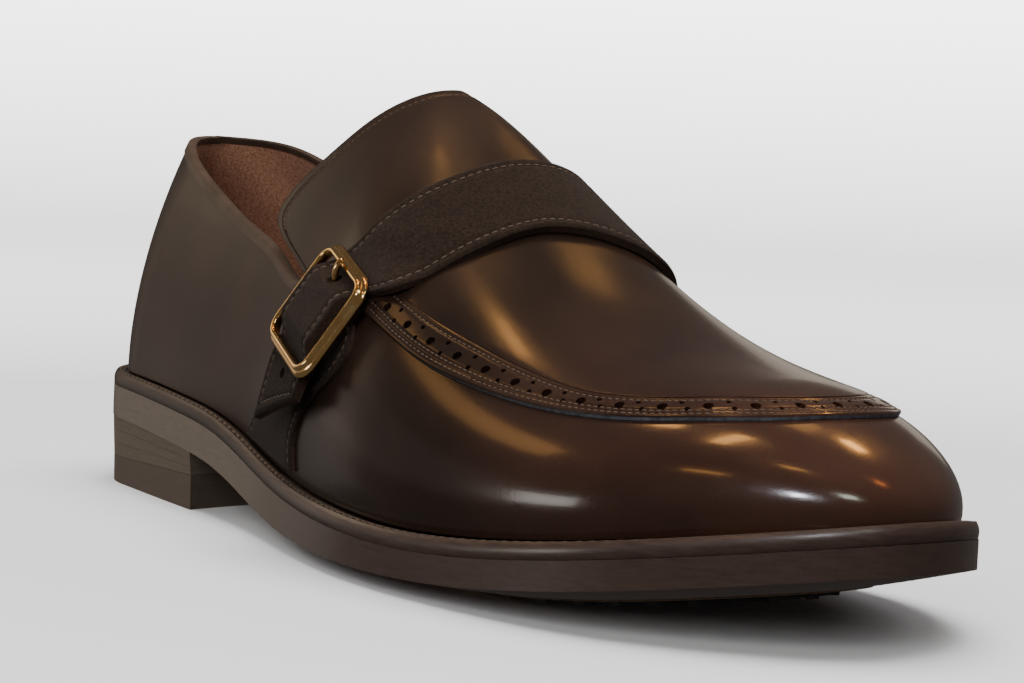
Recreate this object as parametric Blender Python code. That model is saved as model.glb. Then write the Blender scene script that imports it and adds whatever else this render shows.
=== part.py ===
"""A right shoe: single-strap monk slip-on with a brogued moc apron, modelled at its real size.

+X points to the toe, +Z up, and the outer side of the foot is -Y. All sizes are in millimetres and
all x are counted from the back of the sole; object_from() turns them into metres and moves the
origin to the middle of the heel's underside.
"""

import bmesh
import bpy
import numpy as np
from mathutils import Matrix, Vector

MM = 0.001
ORIGIN_X = 40.0  # where the origin lies, from the back of the sole
GAP = 0.35  # clearance between pieces that touch on the real shoe
MERGE = 1e-7  # metres

# Sole, seen from below: half widths from the long axis. The ends are rounded by end_rounding().
LENGTH = 305.0
HEEL_ROUND = 31.6
TOE_ROUND = 61.9
ROUND_POWER = 2.2
WIDTH_COLUMNS = ("x", "outer", "inner")
WIDTH_ROWS = (
    (0, 33.3, 33.9),
    (35, 36.7, 32.1),
    (75, 40.8, 27.4),
    (115, 45.0, 22.0),
    (150, 52.7, 27.5),
    (185, 58.4, 40.4),
    (215, 57.8, 46.6),
    (245, 52.9, 48.2),
    (275, 44.2, 44.7),
    (305, 31.7, 39.1),
)

# Side profile of the outsole: its lower edge above the floor, its thickness there, and how far
# its middle hangs below that edge.
PROFILE_COLUMNS = ("x", "edge", "thickness", "belly")
PROFILE_ROWS = (
    (0, 19.2, 8.5, 0.0),
    (72, 15.8, 8.5, 0.0),
    (95, 13.2, 8.5, 0.4),
    (120, 7.9, 8.4, 2.0),
    (150, 4.4, 7.9, 4.2),
    (180, 3.6, 7.0, 5.4),
    (200, 3.7, 6.4, 5.6),
    (220, 4.6, 6.2, 5.8),
    (245, 7.1, 6.2, 5.0),
    (275, 11.6, 6.2, 3.0),
    (305, 17.0, 6.2, 0.0),
)
OUTSOLE_FLOOR = 0.5  # the leather stays this far off the floor, so that the grip touches first
WELT = 3.6
FEATHER_INSET = 3.7  # from the sole's edge in to the upper

# Heel: stacked leather over a wedge-shaped top lift, with a hollow breast.
BREAST_X = 81.0
BREAST_HOLLOW = 5.5
HEEL_INSET = 0.9
LIFT_BACK = 6.5
LIFT_BREAST = 9.0

# Rubber grip let into the forepart: an egg along the middle of the sole.
GRIP_BACK = 156.0
GRIP_FRONT = 278.0
GRIP_HALF_WIDE = 32.0
GRIP_POWER = 2.3
GRIP_THICK = 2.6
POCKET_BELOW = 5.0  # how far the tool that cuts the recess reaches below the leather
GRIP_PROUD = 0.5

INSOLE_THICK = 3.0
INSOLE_INSET = 6.6

# The last: ribs that start at the sole's edge (feather) at x and end on the ridge along the top.
# The sweeps and rise shape a rib between its ends, and the swells push its outer and inner side out.
WALL = 2.0
RIB_COLUMNS = (
    "x",
    "ridge_x",
    "ridge_y",
    "ridge_z",
    "outer_sweep",
    "inner_sweep",
    "rise",
    "outer_swell",
    "inner_swell",
)
RIB_ROWS = (
    (3.7, 22, 1.0, 121.0, 1.55, 1.55, 1.10, -0.8, 2.2),
    (40, 57, 1.0, 121.0, 1.62, 1.62, 1.10, -0.8, 2.2),
    (80, 88, 0.6, 119.5, 1.62, 1.55, 1.08, -0.6, 2.2),
    (115, 118, 0.0, 113.0, 1.42, 1.18, 1.00, 0.0, 2.0),
    (150, 151, -0.3, 102.5, 1.12, 0.98, 0.90, 1.2, 1.4),
    (185, 185, -0.1, 79.5, 1.00, 0.94, 0.85, 2.0, 1.4),
    (215, 215, 0.4, 61.8, 0.94, 0.92, 0.85, 2.0, 1.5),
    (245, 245, 0.8, 52.0, 0.88, 0.88, 0.85, 1.8, 1.6),
    (272, 272, 0.8, 47.8, 0.82, 0.82, 0.85, 1.2, 1.1),
    (301.3, 301.3, 0.7, 43.5, 0.80, 0.80, 0.85, 0.5, 0.5),
)
STRAIGHT_RIBS_X = 245.0  # ribs ahead of this stand upright, so that the toe closes
TOE_ROLL = 40.0
TOE_POWER = 2.05
HUMP_POWER = 0.7  # sets how low on the side the swells are fullest
HEEL_SWELL = 3.5
HEEL_SWELL_REACH = 18.0
SIDES_MEET = 8.0  # the sides' differences fade out over this length towards the back seam

# Openings of the upper in side view. The topline runs from the back seam to the notch, and the
# throat runs on from there under the strap to the ridge.
TOPLINE_COLUMNS = ("x", "outer_z", "inner_z")
TOPLINE_ROWS = (
    (-12, 97.5, 97.5),
    (9, 96.0, 96.0),
    (24, 92.4, 94.5),
    (44, 84.9, 89.5),
    (62, 79.0, 84.0),
    (82, 73.2, 77.5),
    (106, 66.7, 70.0),
    (131, 61.6, 63.0),
    (142, 61.4, 62.4),
    (155, 64.0, 65.0),
    (168, 70.0, 71.0),
    (176, 79.0, 79.0),
    (180, 87.0, 87.0),
)
SEAM_BLEND = 5.0  # the two sides' toplines run into each other this far each side of the long axis
TONGUE_COLUMNS = ("x", "z")
TONGUE_ROWS = (
    (131, 64.2),
    (118, 68.0),
    (105, 72.6),
    (100.5, 78.0),
    (103.5, 83.5),
    (109, 89.0),
    (116, 94.6),
    (122.6, 101.2),
    (129.2, 105.7),
    (135, 108.2),
    (144, 111.0),
)
TONGUE_CLEAR = 1.0  # the throat of the tongue runs this far above the upper's
THROAT_END = 180.0
CUTTER_TOP = 150.0
CUTTER_SIDE = 90.0
INSIDE_REACH = 3.0  # the hollow is cut out this far below the upper's lower edge

# Strap: its rear and front edges as places on the last. A place is a rib's x and how far round
# the rib it lies, from 0 at the outer feather over the ridge at 0.5 to 1 at the inner feather.
STRAP_THICK = 2.2
STRAP_HILL = 4.2  # half length of the hill that the strap makes over the buckle's centre bar
FREE_END_LIFT = 4.0
RUN_IN = 9.0  # the strap comes down to the last this far above the buckle
RUN_OUT = 14.0  # and its free end levels out this far below it
FACING = 0.2  # only where the last faces the buckle this much does the strap leave it
STRAP_COLUMNS = ("rear_round", "rear_x", "front_round", "front_x")
STRAP_ROWS = (
    (0.028, 137.0, 0.062, 161.3),
    (0.064, 140.8, 0.082, 163.0),
    (0.098, 144.1, 0.100, 164.8),
    (0.130, 147.2, 0.122, 166.6),
    (0.162, 150.2, 0.156, 169.2),
    (0.194, 153.8, 0.192, 172.4),
    (0.233, 159.8, 0.222, 180.5),
    (0.283, 163.5, 0.267, 185),
    (0.369, 167.5, 0.353, 188.5),
    (0.464, 169, 0.444, 189.5),
    (0.550, 170, 0.540, 193),
    (0.650, 168, 0.650, 193),
    (0.760, 160, 0.770, 186),
    (0.880, 140, 0.890, 172),
    (0.994, 117, 0.994, 159),
)
ANCHOR_THICK = 1.3
ANCHOR_ROWS = (
    (0.006, 112, 0.006, 150),
    (0.030, 117, 0.030, 149.5),
    (0.060, 125, 0.060, 159),
    (0.095, 134, 0.095, 169.5),
    (0.140, 146, 0.130, 175.5),
)

# Buckle: centre on the last, the strap's direction through it, and sizes along and across it.
BUCKLE_X = 159.0
BUCKLE_ROUND = 0.148
BUCKLE_RAISED = 4.7
BUCKLE_DOWN = (-0.39, -0.46, -0.80)
BUCKLE_OUTWARD = (-0.03, -0.89, 0.45)
BUCKLE_LONG = 27.0
BUCKLE_WIDE = 28.0
BUCKLE_CORNER = 4.5
BAR_WIDE = 2.3
BAR_THICK = 2.2
CENTRE_BAR = 1.0
CENTRE_BAR_LOW = 1.6
PRONG = 0.9
PRONG_REACH = 0.8  # its tip passes the end bar's outer edge by this much
PRONG_ROUTE = ((-2.5, -1.4), (-4.5, -0.2), (-7.5, 1.6))  # along the strap, and outward
PRONG_TOP_START = -10.5
SLOT_LONG = 8.5
SLOT_WIDE = 3.4
SLOT_DEEP = 14.0
SLOT_ALONG = -5.8


def spline(rows, columns, column):
    """A smooth curve (natural cubic) through one column of a table, against its x column."""
    table = np.array(rows, float)
    xs = table[:, 0]
    ys = table[:, columns.index(column)]
    steps = np.diff(xs)
    slopes = np.diff(ys) / steps
    system = np.eye(len(xs))
    bends = np.zeros(len(xs))
    for i in range(1, len(xs) - 1):
        system[i, i - 1 : i + 2] = steps[i - 1], 2 * (steps[i - 1] + steps[i]), steps[i]
        bends[i] = 3 * (slopes[i] - slopes[i - 1])
    square = np.linalg.solve(system, bends)
    cube = np.diff(square) / (3 * steps)
    line = slopes - steps * (2 * square[:-1] + square[1:]) / 3

    def at(x):
        x = np.clip(np.asarray(x, float), xs[0], xs[-1])
        i = np.clip(np.searchsorted(xs, x) - 1, 0, len(xs) - 2)
        t = x - xs[i]
        return ys[i] + line[i] * t + square[i] * t**2 + cube[i] * t**3

    return at


outer_width = spline(WIDTH_ROWS, WIDTH_COLUMNS, "outer")
inner_width = spline(WIDTH_ROWS, WIDTH_COLUMNS, "inner")
edge_height = spline(PROFILE_ROWS, PROFILE_COLUMNS, "edge")
sole_thickness = spline(PROFILE_ROWS, PROFILE_COLUMNS, "thickness")
belly = spline(PROFILE_ROWS, PROFILE_COLUMNS, "belly")
rib = {name: spline(RIB_ROWS, RIB_COLUMNS, name) for name in RIB_COLUMNS[1:]}


def end_rounding(x):
    """1 along the sole, falling to 0 at its two ends along superellipses."""
    ends = np.clip([x / HEEL_ROUND, (LENGTH - x) / TOE_ROUND], 0, 1)
    heel, toe = (1 - (1 - ends) ** ROUND_POWER) ** (1 / ROUND_POWER)
    return heel * toe


def outline(side, inset):
    """The sole's edge on one side (-1 outer, +1 inner) from back to toe, moved in by inset."""
    x = LENGTH / 2 * (1 - np.cos(np.linspace(0, np.pi, 400)))
    width = outer_width(x) if side < 0 else inner_width(x)
    line = np.stack([x, side * width * end_rounding(x)], axis=1)
    along = np.gradient(line, axis=0)
    along /= np.linalg.norm(along, axis=1)[:, None]
    inward = np.stack([along[:, 1], -along[:, 0]], axis=1) * side
    inward[0] = (1, 0)
    inward[-1] = (-1, 0)
    return line + inward * inset


def edge_at(x, side, inset):
    line = outline(side, inset)
    return np.interp(x, line[:, 0], line[:, 1])


def ends_of(inset):
    line = outline(-1, inset)
    return line[0, 0], line[-1, 0]


def seat_height(x):
    """Top of the outsole."""
    return edge_height(x) + sole_thickness(x)


def feather_height(x):
    """Top of the welt, where the upper stands."""
    return seat_height(x) + WELT


def last_point(x, around, inset=FEATHER_INSET, drop=0.0):
    """The last's surface at rib x, from the outer feather (0) over the ridge (0.5) to the inner (1)."""
    back, front = ends_of(inset)
    side = np.where(around < 0.5, -1.0, 1.0)
    feather_y = np.where(side < 0, edge_at(x, -1, inset), edge_at(x, 1, inset))
    foot = feather_height(x)
    rolled = np.clip((x - (front - TOE_ROLL)) / TOE_ROLL, 0, 1)
    closing = (1 - rolled**TOE_POWER) ** (1 / TOE_POWER)
    ridge_z = foot + (rib["ridge_z"](x) - drop - foot) * closing
    ridge_x = np.where(x > STRAIGHT_RIBS_X, x, rib["ridge_x"](x))
    tip_y = (edge_at(front, -1, inset) + edge_at(front, 1, inset)) / 2
    ridge_y = rib["ridge_y"](x) * closing + tip_y * (1 - closing)
    turn = np.pi * np.where(side < 0, around, 1 - around)
    up = np.sin(turn) ** rib["rise"](x)
    apart = 1 - np.exp(-(x - back) / SIDES_MEET)
    inner_sweep = rib["outer_sweep"](x) + (rib["inner_sweep"](x) - rib["outer_sweep"](x)) * apart
    sweep = np.where(side < 0, rib["outer_sweep"](x), inner_sweep)
    over = 1 - np.clip(np.cos(turn), 0, 1) ** sweep
    hump = np.sin(np.pi * up**HUMP_POWER)
    swell = np.where(side < 0, rib["outer_swell"](x), rib["inner_swell"](x))
    swell = swell * closing * apart
    back_swell = HEEL_SWELL * np.exp(-(x - back) / HEEL_SWELL_REACH)
    return np.stack(
        [
            x + (ridge_x - x) * over - back_swell * hump,
            feather_y + (ridge_y - feather_y) * over + swell * hump * side,
            foot + (ridge_z - foot) * up,
        ],
        axis=-1,
    )


def last_normal(x, around):
    """Outward direction of the last's surface."""
    small_x = 0.5
    small_round = 0.003
    ahead = last_point(x + small_x, around) - last_point(x - small_x, around)
    round_lower = np.clip(around - small_round, 0, 1)
    round_upper = np.clip(around + small_round, 0, 1)
    across = last_point(x, round_upper) - last_point(x, round_lower)
    normal = np.cross(ahead, across)
    return normal / np.linalg.norm(normal, axis=-1)[..., None]


def colour_of(hex_code):
    parts = [int(hex_code[i : i + 2], 16) / 255 for i in (1, 3, 5)]
    return [c / 12.92 if c <= 0.04045 else ((c + 0.055) / 1.055) ** 2.4 for c in parts] + [1.0]


def material(name, hex_code, roughness, metallic=0.0):
    finish = bpy.data.materials.new(name)
    finish.use_nodes = True
    shader = finish.node_tree.nodes["Principled BSDF"]
    shader.inputs["Base Color"].default_value = colour_of(hex_code)
    shader.inputs["Roughness"].default_value = roughness
    shader.inputs["Metallic"].default_value = metallic
    return finish


def object_from(name, mesh, finish=None, smooth_angle=40):
    """Turn a bmesh in millimetres into an object in metres; without a finish it is a cutter."""
    bmesh.ops.translate(mesh, vec=(-ORIGIN_X, 0, 0), verts=mesh.verts)
    bmesh.ops.scale(mesh, vec=(MM, MM, MM), verts=mesh.verts)
    bmesh.ops.remove_doubles(mesh, verts=mesh.verts, dist=MERGE)
    bmesh.ops.recalc_face_normals(mesh, faces=mesh.faces)
    data = bpy.data.meshes.new(name)
    mesh.to_mesh(data)
    mesh.free()
    made = bpy.data.objects.new(name, data)
    bpy.context.collection.objects.link(made)
    if finish is None:
        made.hide_render = True
        made.display_type = "WIRE"
    else:
        data.materials.append(finish)
        data.shade_smooth()
        data.set_sharp_from_angle(angle=np.radians(smooth_angle))
    return made


def cut(target, cutter, operation="DIFFERENCE", solver="EXACT"):
    modifier = target.modifiers.new(f"{operation.lower()} {cutter.name}", "BOOLEAN")
    modifier.operation = operation
    modifier.object = cutter
    modifier.solver = solver


def plate(stations, across, lower, upper):
    """A closed plate from a grid: lower(u, w) and upper(u, w) place it, u in 0..1 and w in -1..1."""
    mesh = bmesh.new()
    bmesh.ops.create_grid(mesh, x_segments=stations, y_segments=across, size=1)
    under = mesh.verts[:]
    grown = bmesh.ops.extrude_face_region(mesh, geom=mesh.faces[:])["geom"]
    over = [item for item in grown if isinstance(item, bmesh.types.BMVert)]
    for verts, place in ((under, lower), (over, upper)):
        u = np.array([(v.co.x + 1) / 2 for v in verts])
        w = np.array([v.co.y for v in verts])
        for vert, point in zip(verts, place(u, w)):
            vert.co = point
    return mesh


def sole_places(inset, height, back=None, front=None, hollow=0.0):
    """A function that spreads a grid over the sole's plan, moved in by inset, at height(x, w)."""
    first, last = ends_of(inset)
    first = first if back is None else back
    last = last if front is None else front

    def place(u, w):
        reach = last - hollow * (1 - w**2)
        x = first + (reach - first) * (1 - np.cos(np.pi * u)) / 2
        y = np.where(w < 0, -w * edge_at(x, -1, inset), w * edge_at(x, 1, inset))
        return np.stack([x, y, height(x, w)], axis=1)

    return place


def outsole_bottom(x, w):
    return np.maximum(OUTSOLE_FLOOR, edge_height(x) - belly(x) * (1 - w**2))


def grip_places(grow, height):
    """A function that spreads a grid over the grip's plan, made larger by grow."""
    middle = (GRIP_BACK + GRIP_FRONT) / 2
    half_long = (GRIP_FRONT - GRIP_BACK) / 2 + grow

    def place(u, w):
        forward = -np.cos(np.pi * u)
        x = middle + half_long * forward
        rounding = (1 - np.abs(forward) ** GRIP_POWER) ** (1 / GRIP_POWER)
        centre = (edge_at(x, -1, 0) + edge_at(x, 1, 0)) / 2
        y = centre + w * rounding * (GRIP_HALF_WIDE + grow)
        across = np.where(y < 0, y / edge_at(x, -1, 0), y / edge_at(x, 1, 0))
        return np.stack([x, y, height(x, across)], axis=1)

    return place


def lift_line(x):
    return LIFT_BACK + (LIFT_BREAST - LIFT_BACK) * x / BREAST_X


def make_sole():
    leather = material("sole leather", "#4b4038", 0.45)
    rubber = material("black rubber", "#232323", 0.75)
    outsole = object_from(
        "outsole",
        plate(
            44,
            10,
            sole_places(0, outsole_bottom),
            sole_places(0, lambda x, w: seat_height(x)),
        ),
        leather,
    )
    pocket = object_from(
        "grip_pocket",
        plate(
            24,
            8,
            grip_places(GAP, lambda x, w: outsole_bottom(x, w) - POCKET_BELOW),
            grip_places(GAP, lambda x, w: outsole_bottom(x, w) + GRIP_THICK - GRIP_PROUD + GAP),
        ),
    )
    cut(outsole, pocket)
    object_from(
        "forepart_grip",
        plate(
            24,
            8,
            grip_places(0, lambda x, w: outsole_bottom(x, w) - GRIP_PROUD),
            grip_places(0, lambda x, w: outsole_bottom(x, w) + GRIP_THICK - GRIP_PROUD),
        ),
        rubber,
    )
    object_from(
        "welt",
        plate(
            44,
            8,
            sole_places(0, lambda x, w: seat_height(x) + GAP),
            sole_places(0, lambda x, w: feather_height(x)),
        ),
        leather,
    )
    object_from(
        "insole",
        plate(
            40,
            8,
            sole_places(INSOLE_INSET, lambda x, w: feather_height(x) + GAP),
            sole_places(INSOLE_INSET, lambda x, w: feather_height(x) + INSOLE_THICK),
        ),
        material("insole leather", "#7a5a44", 0.6),
    )
    heel = {"inset": HEEL_INSET, "front": BREAST_X, "hollow": BREAST_HOLLOW}
    object_from(
        "heel_stack",
        plate(
            16,
            8,
            sole_places(height=lambda x, w: lift_line(x) + GAP, **heel),
            sole_places(height=lambda x, w: edge_height(x) - GAP, **heel),
        ),
        material("stacked heel leather", "#5d5145", 0.55),
    )
    object_from(
        "top_lift",
        plate(
            16,
            8,
            sole_places(height=lambda x, w: np.zeros_like(x), **heel),
            sole_places(height=lambda x, w: lift_line(x), **heel),
        ),
        rubber,
    )


def last_block(inset, drop, stations, around, raised=0.0, reach=0.0):
    """A closed block of the last: its grid goes over the last and back across underneath.

    The whole block is raised, and its underside is pulled down by reach.
    """
    back, front = ends_of(inset)
    mesh = bmesh.new()
    under = 8
    bmesh.ops.create_grid(mesh, x_segments=stations, y_segments=around + under, size=1)
    span = around / (around + under)
    for vert in mesh.verts:
        x = back + (front - back) * (1 - np.cos(np.pi * (vert.co.x + 1) / 2)) / 2
        turn = (vert.co.y + 1) / 2
        if 0 < turn < span:
            vert.co = last_point(x, turn / span, inset, drop) + (0, 0, raised)
            continue
        outer = last_point(x, np.array(0.0), inset, drop)
        inner = last_point(x, np.array(1.0), inset, drop)
        share = (turn - span) / (1 - span) if turn > 0 else 1
        vert.co = inner + (outer - inner) * share + (0, 0, raised - reach)
    return mesh


def prism(name, stages):
    """A closed slab whose side profile runs through stages of (y, profile)."""
    mesh = bmesh.new()
    first_y, first_profile = stages[0]
    verts = [mesh.verts.new((x, first_y, z)) for x, z in first_profile]
    face = mesh.faces.new(verts)
    for stage, (y, profile) in enumerate(stages[1:]):
        passed = face
        grown = bmesh.ops.extrude_face_region(mesh, geom=[face])["geom"]
        face = next(item for item in grown if isinstance(item, bmesh.types.BMFace))
        if stage > 0:
            mesh.faces.remove(passed)
        ends = [{e.other_vert(v) for e in v.link_edges} & set(face.verts) for v in verts]
        verts = [found.pop() for found in ends]
        for vert, (x, z) in zip(verts, profile):
            vert.co = (x, y, z)
    bmesh.ops.triangulate(mesh, faces=mesh.faces)
    return object_from(name, mesh)


def smooth_profile(rows, steps=4):
    """A curve through (x, z) points, by chord length, as a list of finer points."""
    points = np.array(rows, float)
    chords = np.linalg.norm(np.diff(points, axis=0), axis=1)
    distance = np.concatenate([[0], np.cumsum(chords)])
    table = np.column_stack([distance, points])
    columns = ("distance", "x", "z")
    whole = np.arange(len(distance))
    fine = np.interp(np.arange((len(distance) - 1) * steps + 1) / steps, whole, distance)
    return list(zip(spline(table, columns, "x")(fine), spline(table, columns, "z")(fine)))


def make_upper():
    calf = material("dark brown calf", "#3a2a22", 0.3)
    hollow = last_block(FEATHER_INSET + WALL, WALL, 44, 24, reach=INSIDE_REACH)
    inside = object_from("upper_inside", hollow)
    upper = object_from("upper", last_block(FEATHER_INSET, 0, 54, 28, GAP), calf)
    cut(upper, inside, solver="MANIFOLD")
    stages = []
    for column, ys in (
        ("outer_z", (-CUTTER_SIDE, -SEAM_BLEND)),
        ("inner_z", (SEAM_BLEND, CUTTER_SIDE)),
    ):
        index = TOPLINE_COLUMNS.index(column)
        line = smooth_profile([(row[0], row[index]) for row in TOPLINE_ROWS])
        lid = [(THROAT_END + GAP, CUTTER_TOP), (TOPLINE_ROWS[0][0], CUTTER_TOP)]
        stages += [(y, line + lid) for y in ys]
    cut(upper, prism("mouth", stages), solver="MANIFOLD")
    tongue = object_from("tongue", last_block(FEATHER_INSET, 0, 54, 28, GAP), calf)
    inner_z = TOPLINE_COLUMNS.index("inner_z")
    throat = smooth_profile([(row[0], row[inner_z] + TONGUE_CLEAR) for row in TOPLINE_ROWS])
    start = TONGUE_ROWS[0][0] + TONGUE_CLEAR
    front = [(x - GAP, z + GAP) for x, z in throat if x > start]
    lid = [(THROAT_END - GAP, CUTTER_TOP), (TONGUE_ROWS[-1][0], CUTTER_TOP)]
    profile = front + lid + smooth_profile(TONGUE_ROWS)[::-1]
    shape = prism("tongue_shape", [(-CUTTER_SIDE, profile), (CUTTER_SIDE, profile)])
    cut(tongue, inside, solver="MANIFOLD")
    cut(tongue, shape, "INTERSECT", "MANIFOLD")


def buckle_frame():
    """Centre and axes of the buckle: down along the strap, across it, and outward."""
    place = (np.array(BUCKLE_X), np.array(BUCKLE_ROUND))
    centre = last_point(*place) + last_normal(*place) * BUCKLE_RAISED
    outward = np.array(BUCKLE_OUTWARD) / np.linalg.norm(BUCKLE_OUTWARD)
    down = np.array(BUCKLE_DOWN) - outward * np.dot(BUCKLE_DOWN, outward)
    down /= np.linalg.norm(down)
    return centre, down, np.cross(outward, down), outward


def buckle_placement():
    centre, down, across, outward = buckle_frame()
    turn = Matrix((down, across, outward)).transposed().to_4x4()
    return Matrix.Translation(centre) @ turn


def smooth_step(value):
    value = np.clip(value, 0, 1)
    return value * value * (3 - 2 * value)


def strap_lift(points, normals):
    """How high the strap's underside runs: under the buckle's end bars and over its centre bar."""
    centre, down, _, outward = buckle_frame()
    along = (points - centre) @ down
    lower_face = -BAR_THICK / 2 - GAP - STRAP_THICK
    hill = -lower_face - CENTRE_BAR_LOW + CENTRE_BAR + GAP
    woven = lower_face + hill * np.exp(-((along / STRAP_HILL) ** 2))
    facing = normals @ outward
    woven = (woven - (points - centre) @ outward) / np.maximum(facing, FACING)
    above = smooth_step((-along - BUCKLE_LONG / 2) / RUN_IN)
    below = smooth_step((along - BUCKLE_LONG / 2) / RUN_OUT)
    lift = woven * (1 - above) * (1 - below) + GAP * above + FREE_END_LIFT * below
    return np.where(facing < FACING, GAP, lift)


def lying_flat(points, normals):
    return np.full(len(points), GAP)


def band_places(rows, lift, extra):
    """Spreads a grid over a band of the last given by its rear and front edge table."""
    table = np.array(rows, float)
    row_number = np.arange(len(rows), dtype=float)
    numbered = np.column_stack([row_number, table])
    columns = ("x",) + STRAP_COLUMNS
    edge = {name: spline(numbered, columns, name) for name in STRAP_COLUMNS}

    def place(u, w):
        at = u * row_number[-1]
        share = (w + 1) / 2
        around = edge["rear_round"](at) * (1 - share) + edge["front_round"](at) * share
        x = edge["rear_x"](at) * (1 - share) + edge["front_x"](at) * share
        points = last_point(x, around)
        normals = last_normal(x, around)
        raised = lift(points, normals) + extra
        return points + normals * np.reshape(raised, (-1, 1)) + (0, 0, GAP)

    return place


def make_straps():
    suede = material("dark brown suede", "#3a302b", 0.9)
    strap = object_from(
        "strap",
        plate(
            56,
            6,
            band_places(STRAP_ROWS, strap_lift, 0),
            band_places(STRAP_ROWS, strap_lift, STRAP_THICK),
        ),
        suede,
    )
    slot = bmesh.new()
    bmesh.ops.create_cube(slot, size=1)
    bmesh.ops.scale(slot, vec=(SLOT_LONG, SLOT_WIDE, SLOT_DEEP), verts=slot.verts)
    bmesh.ops.translate(slot, vec=(SLOT_ALONG, 0, 0), verts=slot.verts)
    bmesh.ops.transform(slot, matrix=buckle_placement(), verts=slot.verts)
    cut(strap, object_from("prong_slot", slot))
    object_from(
        "side_anchor",
        plate(
            14,
            6,
            band_places(ANCHOR_ROWS, lying_flat, 0),
            band_places(ANCHOR_ROWS, lying_flat, ANCHOR_THICK),
        ),
        suede,
    )


def rounded_rectangle(long, wide, corner, steps=5):
    """Points round a rectangle with round corners, in its own plane."""
    points = []
    for quarter, (a, b) in enumerate(((1, 1), (-1, 1), (-1, -1), (1, -1))):
        for angle in np.linspace(quarter, quarter + 1, steps + 1) * np.pi / 2:
            points.append(
                (
                    a * (long / 2 - corner) + corner * np.cos(angle),
                    b * (wide / 2 - corner) + corner * np.sin(angle),
                )
            )
    return points


def bar_along(points, radius, sides=8):
    """A round bar through points, as a spun circle carried from one point to the next."""
    mesh = bmesh.new()
    rings = []
    for i, point in enumerate(points):
        ahead = Vector(points[min(i + 1, len(points) - 1)]) - Vector(points[max(i - 1, 0)])
        turn = ahead.to_track_quat("Z", "Y").to_matrix().to_4x4()
        ring = bmesh.ops.create_circle(
            mesh,
            cap_ends=i in (0, len(points) - 1),
            segments=sides,
            radius=radius,
            matrix=Matrix.Translation(point) @ turn,
        )["verts"]
        rings.append(ring)
    for first, second in zip(rings, rings[1:]):
        edges = [e for e in mesh.edges if set(e.verts) <= set(first) or set(e.verts) <= set(second)]
        bmesh.ops.bridge_loops(mesh, edges=edges)
    return mesh


def make_buckle():
    brass = material("polished brass", "#c9a45c", 0.22, 1.0)
    place = buckle_placement()
    mesh = bmesh.new()
    outside = rounded_rectangle(BUCKLE_LONG, BUCKLE_WIDE, BUCKLE_CORNER)
    inner_corner = BUCKLE_CORNER - BAR_WIDE
    inside = rounded_rectangle(BUCKLE_LONG - 2 * BAR_WIDE, BUCKLE_WIDE - 2 * BAR_WIDE, inner_corner)
    rings = []
    for ring in (outside, inside):
        verts = [mesh.verts.new((a, b, -BAR_THICK / 2)) for a, b in ring]
        rings.append([mesh.edges.new((verts[i - 1], verts[i])) for i in range(len(verts))])
    faces = bmesh.ops.bridge_loops(mesh, edges=rings[0] + rings[1])["faces"]
    grown = bmesh.ops.extrude_face_region(mesh, geom=faces)["geom"]
    moved = [item for item in grown if isinstance(item, bmesh.types.BMVert)]
    bmesh.ops.translate(mesh, vec=(0, 0, BAR_THICK), verts=moved)
    bmesh.ops.transform(mesh, matrix=place, verts=mesh.verts)
    buckle = object_from("buckle", mesh, brass, 50)
    reach = BUCKLE_WIDE / 2 - BAR_WIDE / 2
    bar = bar_along([place @ Vector((0, b, -CENTRE_BAR_LOW)) for b in (-reach, reach)], CENTRE_BAR)
    cut(buckle, object_from("centre_bar", bar), "UNION")
    rest = BAR_THICK / 2 + GAP + PRONG
    tip = -BUCKLE_LONG / 2 - PRONG_REACH
    route = PRONG_ROUTE + ((PRONG_TOP_START, rest), (tip, rest))
    points = [place @ Vector((along, 0, out)) for along, out in route]
    object_from("buckle_prong", bar_along(points, PRONG), brass, 50)


def main():
    for old in list(bpy.data.objects):
        bpy.data.objects.remove(old)
    make_sole()
    make_upper()
    make_straps()
    make_buckle()


main()
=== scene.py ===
"""Looks of a right monk-strap slip-on with a brogued apron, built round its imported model.

Sizes are in millimetres and x is counted from the back of the sole, as the shoe's patterns are drawn.
piece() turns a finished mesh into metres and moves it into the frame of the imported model.
"""

import bmesh
import bpy
import numpy as np
from mathutils import Matrix, Vector


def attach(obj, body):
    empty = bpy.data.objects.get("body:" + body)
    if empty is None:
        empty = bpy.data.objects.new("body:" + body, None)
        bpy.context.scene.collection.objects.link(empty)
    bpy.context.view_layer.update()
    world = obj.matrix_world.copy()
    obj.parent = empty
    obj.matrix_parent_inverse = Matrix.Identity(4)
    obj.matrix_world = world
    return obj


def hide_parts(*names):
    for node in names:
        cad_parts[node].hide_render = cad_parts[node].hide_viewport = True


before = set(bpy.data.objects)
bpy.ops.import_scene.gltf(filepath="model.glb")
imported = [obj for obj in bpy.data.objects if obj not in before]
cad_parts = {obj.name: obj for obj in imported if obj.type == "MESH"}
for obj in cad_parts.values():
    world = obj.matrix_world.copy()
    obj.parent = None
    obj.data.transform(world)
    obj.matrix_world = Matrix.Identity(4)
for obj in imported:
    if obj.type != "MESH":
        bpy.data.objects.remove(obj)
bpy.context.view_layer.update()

MM = 0.001
ORIGIN_X = 40.0  # the frame's origin, from the back of the sole
GAP = 0.35  # between pieces that touch
MERGE = 1e-7  # metres
BEVEL_FROM = 50  # degrees between two faces that get a rounded edge

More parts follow.
